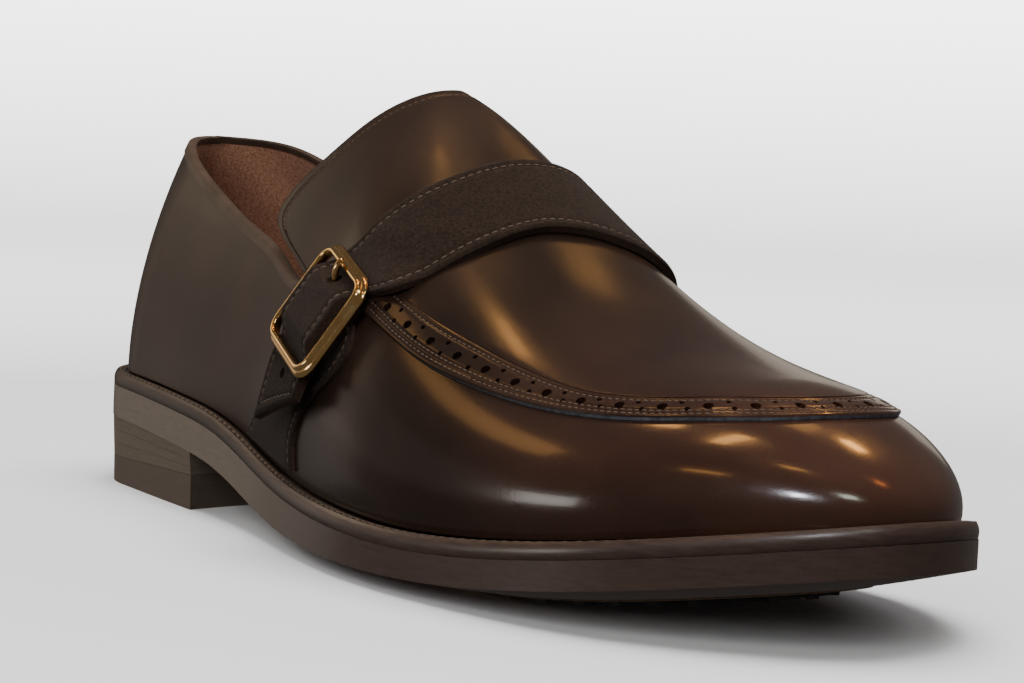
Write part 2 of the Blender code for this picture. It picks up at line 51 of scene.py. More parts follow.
# Sole and last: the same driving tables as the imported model.
LENGTH = 305.0
HEEL_ROUND = 31.6
TOE_ROUND = 61.9
ROUND_POWER = 2.2
WIDTH_COLUMNS = ("x", "outer", "inner")
WIDTH_ROWS = (
    (0, 33.3, 33.9),
    (35, 36.7, 32.1),
    (75, 40.8, 27.4),
    (115, 45.0, 22.0),
    (150, 52.7, 27.5),
    (185, 58.4, 40.4),
    (215, 57.8, 46.6),
    (245, 52.9, 48.2),
    (275, 44.2, 44.7),
    (305, 31.7, 39.1),
)
PROFILE_COLUMNS = ("x", "edge", "thickness", "belly")
PROFILE_ROWS = (
    (0, 19.2, 8.5, 0.0),
    (72, 15.8, 8.5, 0.0),
    (95, 13.2, 8.5, 0.4),
    (120, 7.9, 8.4, 2.0),
    (150, 4.4, 7.9, 4.2),
    (180, 3.6, 7.0, 5.4),
    (200, 3.7, 6.4, 5.6),
    (220, 4.6, 6.2, 5.8),
    (245, 7.1, 6.2, 5.0),
    (275, 11.6, 6.2, 3.0),
    (305, 17.0, 6.2, 0.0),
)
OUTSOLE_FLOOR = 0.5
WELT = 3.6
FEATHER_INSET = 3.7
BREAST_X = 81.0
BREAST_HOLLOW = 5.5
HEEL_INSET = 0.9
LIFT_BACK = 6.5
LIFT_BREAST = 9.0
HEEL_LIFTS = 3
GRIP_BACK = 156.0
GRIP_FRONT = 278.0
GRIP_MIDDLE = (GRIP_BACK + GRIP_FRONT) / 2
GRIP_HALF_LONG = (GRIP_FRONT - GRIP_BACK) / 2
GRIP_HALF_WIDE = 32.0
GRIP_POWER = 2.3
GRIP_THICK = 2.6
GRIP_PROUD = 0.5
LUG_DEEP = 1.1
RIM_START = 0.25  # the pale rim round the plate: outside the plate, its width and its two faces
RIM_WIDE = 1.1
RIM_FACES = (0.15, -0.25)
LUGS_IN = 4.5  # lugs keep this far from the plate's edge
LUG_TAPER = (0.9, 0.9, 1)
WALL = 2.0
RIB_COLUMNS = (
    "x",
    "ridge_x",
    "ridge_y",
    "ridge_z",
    "outer_sweep",
    "inner_sweep",
    "rise",
    "outer_swell",
    "inner_swell",
)
RIB_ROWS = (
    (3.7, 22, 1.0, 121.0, 1.55, 1.55, 1.10, -0.8, 2.2),
    (40, 57, 1.0, 121.0, 1.62, 1.62, 1.10, -0.8, 2.2),
    (80, 88, 0.6, 119.5, 1.62, 1.55, 1.08, -0.6, 2.2),
    (115, 118, 0.0, 113.0, 1.42, 1.18, 1.00, 0.0, 2.0),
    (150, 151, -0.3, 102.5, 1.12, 0.98, 0.90, 1.2, 1.4),
    (185, 185, -0.1, 79.5, 1.00, 0.94, 0.85, 2.0, 1.4),
    (215, 215, 0.4, 61.8, 0.94, 0.92, 0.85, 2.0, 1.5),
    (245, 245, 0.8, 52.0, 0.88, 0.88, 0.85, 1.8, 1.6),
    (272, 272, 0.8, 47.8, 0.82, 0.82, 0.85, 1.2, 1.1),
    (301.3, 301.3, 0.7, 43.5, 0.80, 0.80, 0.85, 0.5, 0.5),
)
STRAIGHT_RIBS_X = 245.0
TOE_ROLL = 40.0
TOE_POWER = 2.05
HUMP_POWER = 0.7
HEEL_SWELL = 3.5
HEEL_SWELL_REACH = 18.0
SIDES_MEET = 8.0

# Topline in side view, down to the notch, and from there up under the tongue's front.
TOPLINE_COLUMNS = ("x", "outer_z", "inner_z")
TOPLINE_ROWS = (
    (-12, 97.5, 97.5),
    (9, 96.0, 96.0),
    (24, 92.4, 94.5),
    (44, 84.9, 89.5),
    (62, 79.0, 84.0),
    (82, 73.2, 77.5),
    (106, 66.7, 70.0),
    (131, 61.6, 63.0),
    (141, 67.5, 68.5),
    (152, 79.0, 79.5),
    (160, 90.0, 90.0),
    (166, 102.0, 102.0),
)
NOTCH_X = 131.5
HALVINGS = 26  # steps that find where a rib meets the topline

# Places on the last are a rib's x and how far round the rib they lie: 0 is the outer feather,
# 0.5 the ridge and 1 the inner feather. Each table holds a band's two edges.
BAND_COLUMNS = ("row", "near_round", "near_x", "far_round", "far_x")
TONGUE_ROWS = (
    (0.160, 132, 0.175, 164),
    (0.168, 122, 0.184, 165),
    (0.178, 110, 0.194, 166.5),
    (0.190, 101.5, 0.207, 168),
    (0.206, 99.6, 0.222, 169.5),
    (0.228, 102.2, 0.245, 171.5),
    (0.250, 106.4, 0.268, 173),
    (0.292, 114.2, 0.305, 175.5),
    (0.347, 121.6, 0.355, 177.5),
    (0.400, 127.6, 0.405, 179),
    (0.450, 131.8, 0.452, 180),
    (0.500, 134.0, 0.500, 180.5),
    (0.550, 132.2, 0.548, 180.5),
    (0.600, 128.2, 0.595, 180),
    (0.653, 122.0, 0.645, 179),
    (0.708, 114.5, 0.695, 176.5),
    (0.750, 106.8, 0.732, 173.5),
    (0.772, 102.4, 0.755, 171),
    (0.794, 99.9, 0.778, 168.5),
    (0.810, 101.7, 0.793, 166.5),
    (0.822, 110.0, 0.806, 164.5),
    (0.832, 122.0, 0.816, 162.5),
    (0.840, 132.0, 0.825, 160),
)
APRON_ROWS = (
    (0.175, 165, 0.217, 169.5),
    (0.178, 173, 0.224, 176),
    (0.182, 185, 0.230, 185),
    (0.188, 199, 0.243, 199),
    (0.200, 214, 0.257, 212),
    (0.217, 234, 0.268, 230),
    (0.231, 246, 0.276, 241),
    (0.251, 257, 0.294, 250),
    (0.287, 267.5, 0.327, 259.5),
    (0.352, 275.5, 0.385, 267.8),
    (0.430, 279.0, 0.445, 271.6),
    (0.500, 279.8, 0.500, 272.6),
    (0.570, 279.0, 0.555, 271.6),
    (0.648, 275.2, 0.615, 267.5),
    (0.713, 267.0, 0.673, 259),
    (0.749, 256.5, 0.706, 249.5),
    (0.769, 245.5, 0.724, 240.5),
    (0.783, 234, 0.732, 230),
    (0.800, 214, 0.743, 212),
    (0.812, 199, 0.757, 199),
    (0.818, 185, 0.770, 185),
    (0.822, 173, 0.776, 176),
    (0.825, 161, 0.783, 167),
)
APRON_THICK = 1.25
PUNCH_PITCH = 9.2
PUNCH_BIG = 1.1  # radius
PUNCH_SMALL = 0.55
PUNCH_PAIR = (0.37, 0.68)  # places of the small ones across the band
PUNCH_DEEP = 1.9  # right through the band
PUNCH_MIDDLE = 0.75  # above the last
PLUG_BACK = 181.0  # the plug's back end in the middle, under the strap

STRAP_THICK = 2.2
STRAP_CLEAR = 0.3  # under the strap, over the instep
STRAP_UNDER_BARS = -3.4  # its underside below the buckle's middle plane
STRAP_HILL = 3.9  # it domes up between the end bars by this much
HILL_START = 11.6  # from the buckle's centre
HILL_CLIMB = 6.5
FREE_START = 15.0
FREE_SLOPE = 0.42
FREE_BEND = 4.0  # how softly the free end leaves the buckle's plane
RUN_IN = 9.0
FACING = 0.2
ON_APRON_OUTER = 66.0  # heights at which the strap starts to climb over apron and tongue
ON_APRON_INNER = 50.0
APRON_CLIMB = 8.0
STRAP_ROWS = (
    (0.028, 137.0, 0.062, 161.3),
    (0.064, 140.8, 0.082, 163.0),
    (0.098, 144.1, 0.100, 164.8),
    (0.130, 147.2, 0.122, 166.6),
    (0.162, 150.2, 0.156, 169.2),
    (0.194, 153.8, 0.192, 172.4),
    (0.233, 159.8, 0.222, 180.5),
    (0.283, 163.5, 0.267, 185),
    (0.369, 167.5, 0.353, 188.5),
    (0.464, 169, 0.444, 189.5),
    (0.550, 170, 0.540, 193),
    (0.650, 168, 0.650, 193),
    (0.760, 160, 0.770, 186),
    (0.880, 140, 0.890, 172),
    (0.994, 117, 0.994, 159),
)
ANCHOR_THICK = 1.3
ANCHOR_ROWS = (
    (0.006, 112, 0.006, 148.5),
    (0.030, 117, 0.030, 148.5),
    (0.060, 125, 0.060, 156.0),
    (0.095, 134, 0.092, 167.0),
    (0.125, 142, 0.120, 172.5),
    (0.145, 147, 0.140, 173.5),
    (0.165, 152, 0.158, 171.5),
)

BUCKLE_X = 159.0
BUCKLE_ROUND = 0.148
BUCKLE_RAISED = 4.7
BUCKLE_DOWN = (-0.39, -0.46, -0.80)
BUCKLE_OUTWARD = (-0.03, -0.89, 0.45)
BUCKLE_LONG = 27.0
BUCKLE_WIDE = 28.0
BUCKLE_CORNER = 5.2
BAR_WIDE = 2.3
BAR_THICK = 2.2
CENTRE_BAR = 0.75  # radius
STRAP_HOLES = ((-8.0, 1.5), (17.0, 1.25))  # along the strap from the buckle's centre, and radius

SUEDE_THREAD = 0.29  # radius of each sewing thread, and the length of one stitch
SUEDE_PITCH = 2.2
APRON_THREAD = 0.2
APRON_PITCH = 1.6
TONGUE_THREAD = 0.22
TONGUE_PITCH = 1.7
WELT_THREAD = 0.42
WELT_PITCH = 3.1
WELT_SEAM_IN = 1.65  # rows of stitches from the edge of their piece
STRAP_SEAM_IN = 2.4
ANCHOR_SEAM_IN = 2.3
TIP_SEAM_IN = 2.2
TONGUE_SEAM_IN = 4.6
APRON_SEAMS_IN = {"outer": 1.35, "middle": 2.7, "inner": -1.5}  # negative: from the far edge
PULLED_IN = 0.12  # a stitch lies this far below the leather round it
STITCH_SHARE = 0.78  # of the pitch; the rest is the hole between two stitches
TIP_MARGIN = 0.12  # share of the strap's width without stitches at each end of the tip's row
EDGE_RADIUS = 0.9  # skived edge of tongue, strap and patch
EDGE_FALL = 0.45

# Section of the welt strip: in from the sole's edge, and up from the seat that it lies on.
WELT_SECTION = (
    (0.22, 0.03),
    (0.1, 0.3),
    (0.02, 0.9),
    (0.0, 1.4),
    (0.04, 1.9),
    (0.14, 2.4),
    (0.3, 2.85),
    (0.5, 3.25),
    (0.75, WELT),
    (1.15, WELT),
    (1.35, WELT - 0.3),
    (1.95, WELT - 0.3),
    (2.15, WELT),
    (2.9, WELT),
    (3.4, WELT - 0.6),
    (12.0, WELT - 0.6),
    (12.0, 0.03),
)
# Section of the buckle's frame, from the middle of its bar: outward, and up off the shoe.
BAR_SECTION = (
    (BAR_WIDE * 0.5 + 0.25, -BAR_THICK * 0.5),
    (BAR_WIDE * 0.5 + 0.55, -BAR_THICK * 0.5 + 0.35),
    (BAR_WIDE * 0.5 + 0.45, -BAR_THICK * 0.5 + 0.8),
    (BAR_WIDE * 0.31, BAR_THICK * 0.15),
    (BAR_WIDE * 0.225, BAR_THICK * 0.16),
    (BAR_WIDE * 0.15, BAR_THICK * 0.31),
    (BAR_WIDE * 0.05, BAR_THICK * 0.5 + 0.02),
    (-BAR_WIDE * 0.175, BAR_THICK * 0.5 + 0.2),
    (-BAR_WIDE * 0.375, BAR_THICK * 0.5 + 0.12),
    (-BAR_WIDE * 0.5, BAR_THICK * 0.5 - 0.35),
    (-BAR_WIDE * 0.5, -BAR_THICK * 0.5 + 0.35),
    (-BAR_WIDE * 0.5 + 0.3, -BAR_THICK * 0.5),
)
# The centre bar's route across the buckle: sideways from the middle, and up.
CENTRE_BAR_HALF = ((12.6, -0.5), (11.8, -0.9), (0.0, -0.9))
# The prong's route from the centre bar to the end bar that it rests on: along, up, and its radius.
PRONG_REST = BAR_THICK / 2 + GAP + 0.85
PRONG_ROUTE = (
    (-4.6, -1.9, 0.8),
    (-6.2, -0.9, 0.85),
    (-7.6, 0.3, 0.85),
    (-9.0, 1.35, 0.8),
    (-10.4, PRONG_REST - 0.25, 0.8),
    (-11.8, PRONG_REST, 0.75),
    (-12.8, PRONG_REST, 0.62),
    (-BUCKLE_LONG / 2 + 0.1, PRONG_REST - 0.1, 0.35),
)


def spline(rows, columns, column):
    """A smooth curve (natural cubic) through one column of a table, against its first column."""
    table = np.array(rows, float)
    xs = table[:, 0]
    ys = table[:, columns.index(column)]
    steps = np.diff(xs)
    slopes = np.diff(ys) / steps
    system = np.eye(len(xs))
    bends = np.zeros(len(xs))
    for i in range(1, len(xs) - 1):
        system[i, i - 1 : i + 2] = steps[i - 1], 2 * (steps[i - 1] + steps[i]), steps[i]
        bends[i] = 3 * (slopes[i] - slopes[i - 1])
    square = np.linalg.solve(system, bends)
    cube = np.diff(square) / (3 * steps)
    line = slopes - steps * (2 * square[:-1] + square[1:]) / 3

    def at(x):
        x = np.clip(np.asarray(x, float), xs[0], xs[-1])
        i = np.clip(np.searchsorted(xs, x) - 1, 0, len(xs) - 2)
        t = x - xs[i]
        return ys[i] + line[i] * t + square[i] * t**2 + cube[i] * t**3

    return at


outer_width = spline(WIDTH_ROWS, WIDTH_COLUMNS, "outer")
inner_width = spline(WIDTH_ROWS, WIDTH_COLUMNS, "inner")
edge_height = spline(PROFILE_ROWS, PROFILE_COLUMNS, "edge")
sole_thickness = spline(PROFILE_ROWS, PROFILE_COLUMNS, "thickness")
belly = spline(PROFILE_ROWS, PROFILE_COLUMNS, "belly")
rib = {name: spline(RIB_ROWS, RIB_COLUMNS, name) for name in RIB_COLUMNS[1:]}
topline = {name: spline(TOPLINE_ROWS, TOPLINE_COLUMNS, name) for name in TOPLINE_COLUMNS[1:]}


def end_rounding(x):
    """1 along the sole, falling to 0 at its two ends along superellipses."""
    ends = np.clip([x / HEEL_ROUND, (LENGTH - x) / TOE_ROUND], 0, 1)
    heel, toe = (1 - (1 - ends) ** ROUND_POWER) ** (1 / ROUND_POWER)
    return heel * toe


def outline(side, inset):
    """The sole's edge on one side (-1 outer, +1 inner) from back to toe, moved in by inset."""
    x = LENGTH / 2 * (1 - np.cos(np.linspace(0, np.pi, 400)))
    width = outer_width(x) if side < 0 else inner_width(x)
    line = np.stack([x, side * width * end_rounding(x)], axis=1)
    along = np.gradient(line, axis=0)
    along /= np.linalg.norm(along, axis=1)[:, None]
    inward = np.stack([along[:, 1], -along[:, 0]], axis=1) * side
    inward[0] = (1, 0)
    inward[-1] = (-1, 0)
    return line + inward * inset


def edge_at(x, side, inset):
    line = outline(side, inset)
    return np.interp(x, line[:, 0], line[:, 1])


def ends_of(inset):
    line = outline(-1, inset)
    return line[0, 0], line[-1, 0]


def seat_height(x):
    return edge_height(x) + sole_thickness(x)


def feather_height(x):
    return seat_height(x) + WELT


def last_point(x, around, inset=FEATHER_INSET, drop=0.0):
    """The last's surface at rib x, from the outer feather (0) over the ridge (0.5) to the inner (1)."""
    back, front = ends_of(inset)
    side = np.where(around < 0.5, -1.0, 1.0)
    feather_y = np.where(side < 0, edge_at(x, -1, inset), edge_at(x, 1, inset))
    foot = feather_height(x)
    rolled = np.clip((x - (front - TOE_ROLL)) / TOE_ROLL, 0, 1)
    closing = (1 - rolled**TOE_POWER) ** (1 / TOE_POWER)
    ridge_z = foot + (rib["ridge_z"](x) - drop - foot) * closing
    ridge_x = np.where(x > STRAIGHT_RIBS_X, x, rib["ridge_x"](x))
    tip_y = (edge_at(front, -1, inset) + edge_at(front, 1, inset)) / 2
    ridge_y = rib["ridge_y"](x) * closing + tip_y * (1 - closing)
    turn = np.pi * np.where(side < 0, around, 1 - around)
    apart = 1 - np.exp(-(x - back) / SIDES_MEET)
    inner_sweep = rib["outer_sweep"](x) + (rib["inner_sweep"](x) - rib["outer_sweep"](x)) * apart
    sweep = np.where(side < 0, rib["outer_sweep"](x), inner_sweep)
    up = np.sin(np.clip(turn, 0, np.pi)) ** rib["rise"](x)
    over = 1 - np.clip(np.cos(turn), 0, 1) ** sweep
    hump = np.sin(np.pi * up**HUMP_POWER)
    swell = np.where(side < 0, rib["outer_swell"](x), rib["inner_swell"](x))
    swell = swell * closing * apart
    back_swell = HEEL_SWELL * np.exp(-(x - back) / HEEL_SWELL_REACH)
    return np.stack(
        [
            x + (ridge_x - x) * over - back_swell * hump,
            feather_y + (ridge_y - feather_y) * over + swell * hump * side,
            foot + (ridge_z - foot) * up,
        ],
        axis=-1,
    )


def unit(vectors):
    return vectors / np.linalg.norm(vectors, axis=-1)[..., None]


def last_normal(x, around):
    """Outward direction of the last's surface."""
    small_x = 0.5
    small_round = 0.003
    ahead = last_point(x + small_x, around) - last_point(x - small_x, around)
    lower = np.clip(around - small_round, 0, 1)
    upper = np.clip(around + small_round, 0, 1)
    return unit(np.cross(ahead, last_point(x, upper) - last_point(x, lower)))


def on_last(x, around, lift):
    """A point that stands lift above the upper's surface."""
    x = np.asarray(x, float)
    around = np.asarray(around, float)
    raised = np.asarray(lift, float) * np.ones_like(x)
    return last_point(x, around) + last_normal(x, around) * raised[..., None] + (0, 0, GAP)


def smooth_step(value):
    value = np.clip(value, 0, 1)
    return value * value * (3 - 2 * value)


def rounded_edge(distance, radius, fall):
    """How far leather falls off towards its edge, at a distance from that edge."""
    return fall * (1 - np.sqrt(1 - (1 - np.clip(distance / radius, 0, 1)) ** 2))


def trough(distance, place, wide, deep):
    """How far a seam pulls leather down, at a distance from the edge."""
    return deep * np.exp(-(((distance - place) / wide) ** 2))


# ---------------------------------------------------------------- materials


def colour_of(hex_code):
    """Linear colour of an sRGB hex value."""
    parts = [int(hex_code[i : i + 2], 16) / 255 for i in (1, 3, 5)]
    return [c / 12.92 if c <= 0.04045 else ((c + 0.055) / 1.055) ** 2.4 for c in parts] + [1.0]


def add(tree, kind, inputs=None, output=0, **settings):
    """Adds a node and gives one of its outputs back: inputs are values, or sockets to link."""
    node = tree.nodes.new("ShaderNode" + kind)
    for name, value in settings.items():
        setattr(node, name, value)
    for key, value in (inputs or {}).items():
        if isinstance(value, bpy.types.NodeSocket):
            tree.links.new(value, node.inputs[key])
        else:
            node.inputs[key].default_value = value
    return node.outputs[output]


def start_finish(name, **sockets):
    """A new material, its node tree, its shader with uniform values set, and object coordinates."""
    finish = bpy.data.materials.new(name)
    finish.use_nodes = True
    tree = finish.node_tree
    shader = tree.nodes["Principled BSDF"]
    for key, value in sockets.items():
        shader.inputs[key.replace("_", " ")].default_value = value
    return finish, tree, shader, add(tree, "TexCoord", output="Object")


def lay_on(tree, shader, **patterns):
    """Links patterns to the shader's sockets."""
    for key, socket in patterns.items():
        tree.links.new(socket, shader.inputs[key.replace("_", " ")])


def every(size_mm):
    """Texture scale whose features are about size_mm across."""
    return 1 / (size_mm * MM)


def two_tone(tree, pattern, darker, lighter, low=0.3, high=0.7):
    """Colour that passes from darker to lighter while a pattern rises from low to high."""
    share = add(tree, "MapRange", {"Value": pattern, "From Min": low, "From Max": high})
    tones = {0: share, 6: colour_of(darker), 7: colour_of(lighter)}
    return add(tree, "Mix", tones, 2, data_type="RGBA")


def along_shoe(tree, where, start, end, back=0.0, front=1.0):
    """A value that turns smoothly from back to front between two x places, from the sole's back."""
    x = add(tree, "SeparateXYZ", {"Vector": where}, "X")
    reach = {"From Min": (start - ORIGIN_X) * MM, "From Max": (end - ORIGIN_X) * MM}
    values = {"Value": x, "To Min": back, "To Max": front}
    return add(tree, "MapRange", reach | values, interpolation_type="SMOOTHSTEP")


def clouded(name, clouds, tones, grain=None, stops=(0.3, 0.7), stretch=None, **sockets):
    """A finish clouded in two tones with a fine relief, as most dyed leather and rubber has.

    clouds are the patches' size in millimetres and their detail. grain is the relief's size and
    detail, its strength and its depth in millimetres. stretch draws the clouds out into fibres.
    """
    finish, tree, shader, where = start_finish(name, **sockets)
    spread = add(tree, "Mapping", {"Vector": where, "Scale": stretch}) if stretch else where
    size, detail, rough = clouds
    patches = {"Vector": spread, "Scale": every(size), "Detail": detail, "Roughness": rough}
    colour = two_tone(tree, add(tree, "TexNoise", patches), *tones, *stops)
    lay_on(tree, shader, Base_Color=colour)
    if grain:
        size, detail, strength, depth = grain
        height = add(tree, "TexNoise", {"Vector": where, "Scale": every(size), "Detail": detail})
        relief = {"Height": height, "Strength": strength, "Distance": depth * MM}
        lay_on(tree, shader, Normal=add(tree, "Bump", relief))
    return finish


def polished_calf():
    """Box calf, aniline dyed and waxed: nearly black sides and a toe burnished to warm brown."""
    finish, tree, shader, where = start_finish(
        "polished dark brown calf", Specular_IOR_Level=0.36, Coat_Roughness=0.1
    )
    clouds = add(tree, "TexNoise", {"Vector": where, "Scale": every(30), "Detail": 3})
    sides = two_tone(tree, clouds, "#1f1611", "#2e211a")
    toe = two_tone(tree, clouds, "#2b1912", "#3c251b")
    burnished = along_shoe(tree, where, 190, 290)
    colour = add(tree, "Mix", {0: burnished, 6: sides, 7: toe}, 2, data_type="RGBA")
    specks = {"Vector": where, "Scale": every(1.8), "Detail": 4, "Roughness": 0.6}
    shown = {"Value": add(tree, "TexNoise", specks), "From Min": 0.35, "From Max": 0.75, "To Max": 0.117}
    pores = {0: add(tree, "MapRange", shown), 6: colour, 7: colour_of("#170f0c")}
    fine = {"Vector": where, "Scale": every(0.45), "Detail": 2, "Roughness": 0.6}
    coarse = {"Vector": where, "Scale": every(2.6), "Detail": 2}
    grain = add(tree, "Mix", {0: 0.5, 2: add(tree, "TexNoise", fine), 3: add(tree, "TexNoise", coarse)})
    lay_on(
        tree,
        shader,
        Base_Color=add(tree, "Mix", pores, 2, data_type="RGBA"),
        Roughness=along_shoe(tree, where, 135, 205, 0.4, 0.19),
        Coat_Weight=along_shoe(tree, where, 190, 290, 0.05, 0.6),
        Normal=add(tree, "Bump", {"Height": grain, "Strength": 0.4, "Distance": 0.09 * MM}),
    )
    return finish


def napped_leather(name, nap_mm, clouds_mm, lying, brushed, strength, depth, **sockets):
    """Suede: a fibrous nap in two tones, darker where it lies and lighter where it is brushed."""
    finish, tree, shader, where = start_finish(name, Roughness=0.95, Sheen_Roughness=0.5, **sockets)
    fibres = {"Vector": where, "Scale": every(nap_mm), "Detail": 5, "Roughness": 0.7}
    nap = add(tree, "TexNoise", fibres)
    tones = [two_tone(tree, nap, *pair, 0.35, 0.65) for pair in (lying, brushed)]
    clouds = add(tree, "TexNoise", {"Vector": where, "Scale": every(clouds_mm), "Detail": 3})
    lay_on(
        tree,
        shader,
        Base_Color=add(tree, "Mix", {0: clouds, 6: tones[0], 7: tones[1]}, 2, data_type="RGBA"),
        Normal=add(tree, "Bump", {"Height": nap, "Strength": strength, "Distance": depth * MM}),
    )
    return finish


def sewing_thread(name, hex_code):
    """Waxed linen thread: twisted strands that catch a little light."""
    finish, tree, shader, where = start_finish(name, Roughness=0.62)
    light = colour_of(hex_code)
    dark = [c * 0.55 for c in light[:3]] + [1.0]
    strands = add(tree, "TexNoise", {"Vector": where, "Scale": every(0.6), "Detail": 3})
    twist = add(tree, "TexNoise", {"Vector": where, "Scale": every(0.3), "Detail": 3})
    lay_on(
        tree,
        shader,
        Base_Color=add(tree, "Mix", {0: strands, 6: dark, 7: light}, 2, data_type="RGBA"),
        Normal=add(tree, "Bump", {"Height": twist, "Strength": 0.4, "Distance": 0.06 * MM}),
    )
    return finish


def sole_edge(name, waist, forepart):
    """Edge of a leather sole layer: trimmed and matt at heel and waist, ironed with wax in front."""
    finish, tree, shader, where = start_finish(name, Coat_Weight=0.4, Coat_Roughness=0.25)
    drawn_out = add(tree, "Mapping", {"Vector": where, "Scale": (1, 1, 7)})
    fibres = {"Vector": drawn_out, "Scale": every(5), "Detail": 4, "Roughness": 0.6}
    layers = add(tree, "TexNoise", fibres)
    tones = [two_tone(tree, layers, *pair, 0.25, 0.75) for pair in (waist, forepart)]
    front = along_shoe(tree, where, 90, 190)
    colour = add(tree, "Mix", {0: front, 6: tones[0], 7: tones[1]}, 2, data_type="RGBA")
    dust = {"Vector": where, "Scale": every(0.7), "Detail": 3, "Roughness": 0.7}
    specks = add(tree, "TexNoise", dust)
    shown = {"Value": specks, "From Min": 0.55, "From Max": 0.8, "To Max": 0.051}
    flecks = {0: add(tree, "MapRange", shown), 6: colour, 7: colour_of("#9a8878")}
    lay_on(
        tree,
        shader,
        Base_Color=add(tree, "Mix", flecks, 2, data_type="RGBA"),
        Roughness=along_shoe(tree, where, 90, 190, 0.62, 0.34),
        Normal=add(tree, "Bump", {"Height": specks, "Strength": 0.3, "Distance": 0.12 * MM}),
    )
    return finish


def stacked_leather(name, tones):
    """Heel leather, trimmed and dyed: matt taupe with soft horizontal fibres."""
    return clouded(
        name, (7, 4, 0.6), tones, (0.8, 3, 0.3, 0.1), (0.25, 0.75), (1, 1, 9), Roughness=0.58
    )


def polished_brass():
    """Cast brass, polished and lacquered: clean yellow metal with faint polishing swirls."""
    finish, tree, shader, where = start_finish("polished yellow brass", Metallic=1.0)
    haze = add(tree, "TexNoise", {"Vector": where, "Scale": every(3), "Detail": 4})
    lay_on(
        tree,
        shader,
        Base_Color=two_tone(tree, haze, "#e9b970", "#f8d79c", 0.2, 0.8),
        Roughness=add(tree, "MapRange", {"Value": haze, "To Min": 0.1, "To Max": 0.22}),
    )
    return finish


def pale_floor():
    """Matt pale studio floor and wall: they brighten smoothly from the object up to the top."""
    eye_level = 0.09  # the glow grows with the slope up to a place, as seen over the floor's middle
    eye_distance = 0.65
    finish, tree, shader, where = start_finish("matt pale studio floor", Roughness=0.9)
    shader.inputs["Emission Color"].default_value = colour_of("#ffffff")
    clouds = add(tree, "TexNoise", {"Vector": where, "Scale": every(400), "Detail": 3})
    level = add(tree, "VectorMath", {0: where, 1: (1, 1, 0)}, operation="MULTIPLY")
    far = add(tree, "VectorMath", {0: level}, "Value", operation="LENGTH")
    reach = add(tree, "Math", {0: far, 1: eye_distance}, operation="ADD")
    height = add(tree, "SeparateXYZ", {"Vector": where}, "Z")
    rise = add(tree, "Math", {0: height, 1: eye_level}, operation="SUBTRACT")
    slope = add(tree, "Math", {0: rise, 1: reach}, operation="DIVIDE")
    glow = {"Value": slope, "From Min": -0.095, "From Max": 0.07, "To Max": 4.4}
    lay_on(
        tree,
        shader,
        Base_Color=two_tone(tree, clouds, "#e9e9e9", "#ebebeb"),
        Emission_Strength=add(tree, "MapRange", glow),
    )
    return finish


calf = polished_calf()
# Cut edge of the apron, dyed with blue-black edge ink: a dull cool line.
ink = clouded(
    "blue black inked leather edge",
    (1.5, 3, 0.5),
    ("#434850", "#6d747f"),
    (0.6, 3, 0.3, 0.08),
    Roughness=0.5,
)
# Dyed cut edge of calf: duller and redder than its grain side.
dyed_edge = clouded(
    "red brown dyed leather edge",
    (1.2, 3, 0.5),
    ("#3d2018", "#643a2c"),
    (0.5, 3, 0.35, 0.08),
    Roughness=0.6,
)
# Folded calf binding on the collar, in a lighter brown than the calf.
binding = clouded(
    "folded brown collar calf",
    (6, 3, 0.5),
    ("#30251e", "#45372d"),
    (0.7, 3, 0.2, 0.06),
    Roughness=0.5,
)
# Kid suede lining: rust coloured, with lighter brushed clouds.
lining = napped_leather(
    "rust suede lining",
    0.6,
    14,
    ("#55372a", "#8a604a"),
    ("#815a45", "#c29173"),
    0.6,
    0.25,
    Sheen_Weight=0.1,
)
# Calf suede on the strap: a short dark nap that scatters light.
suede = napped_leather(
    "dark brown brushed suede",
    0.7,
    11,
    ("#110c09", "#281d16"),
    ("#17100c", "#33261d"),
    0.55,
    0.2,
    Specular_IOR_Level=0.25,
    Sheen_Weight=0.03,
)
# Cut edge and backing of the strap: brown leather with loose fibres.
strap_edge = clouded(
    "raw brown strap edge",
    (0.8, 4, 0.5),
    ("#251810", "#402c1f"),
    (0.5, 3, 0.5, 0.12),
    Roughness=0.85,
)
edge_wax = sole_edge("waxed taupe brown sole edge", ("#655a4e", "#74675a"), ("#372923", "#463730"))
welt_wax = sole_edge("waxed dark brown welt", ("#261e19", "#392e27"), ("#30231e", "#46372f"))
heel_leather = stacked_leather("stacked taupe heel leather", ("#60554a", "#6e6255"))
lift_edge = stacked_leather("dyed taupe heel lift edge", ("#51463d", "#5d5146"))
# Bottom of a leather sole, stained dark red brown and burnished to a soft gloss.
bottom = clouded(
    "burnished leather sole bottom",
    (26, 4, 0.5),
    ("#2c1712", "#47281e"),
    (1.2, 4, 0.15, 0.08),
    Roughness=0.45,
)
# Moulded rubber: black, with a dry, slightly dusty surface.
rubber = clouded(
    "black moulded rubber",
    (4, 4, 0.5),
    ("#131313", "#262524"),
    (0.6, 3, 0.25, 0.08),
    (0.3, 0.75),
    Roughness=0.62,
)
# Cut groove round the rubber: pale leather that took no stain.
rim_leather = clouded("pale cut leather rim", (1.5, 3, 0.5), ("#6d5646", "#94795f"), Roughness=0.8)
# Vegetable tanned insole sock: smooth rust brown calf, darker where it was glazed.
sock = clouded(
    "rust brown insole leather",
    (20, 4, 0.5),
    ("#5a3123", "#7b4a37"),
    (0.8, 3, 0.2, 0.06),
    Roughness=0.55,
)
brass = polished_brass()
calf_thread = sewing_thread("brown waxed thread on calf", "#5e4d40")
suede_thread = sewing_thread("brown waxed thread on suede", "#5a4b40")
welt_thread = sewing_thread("dark waxed welt thread", "#54473c")


# ---------------------------------------------------------------- mesh tools


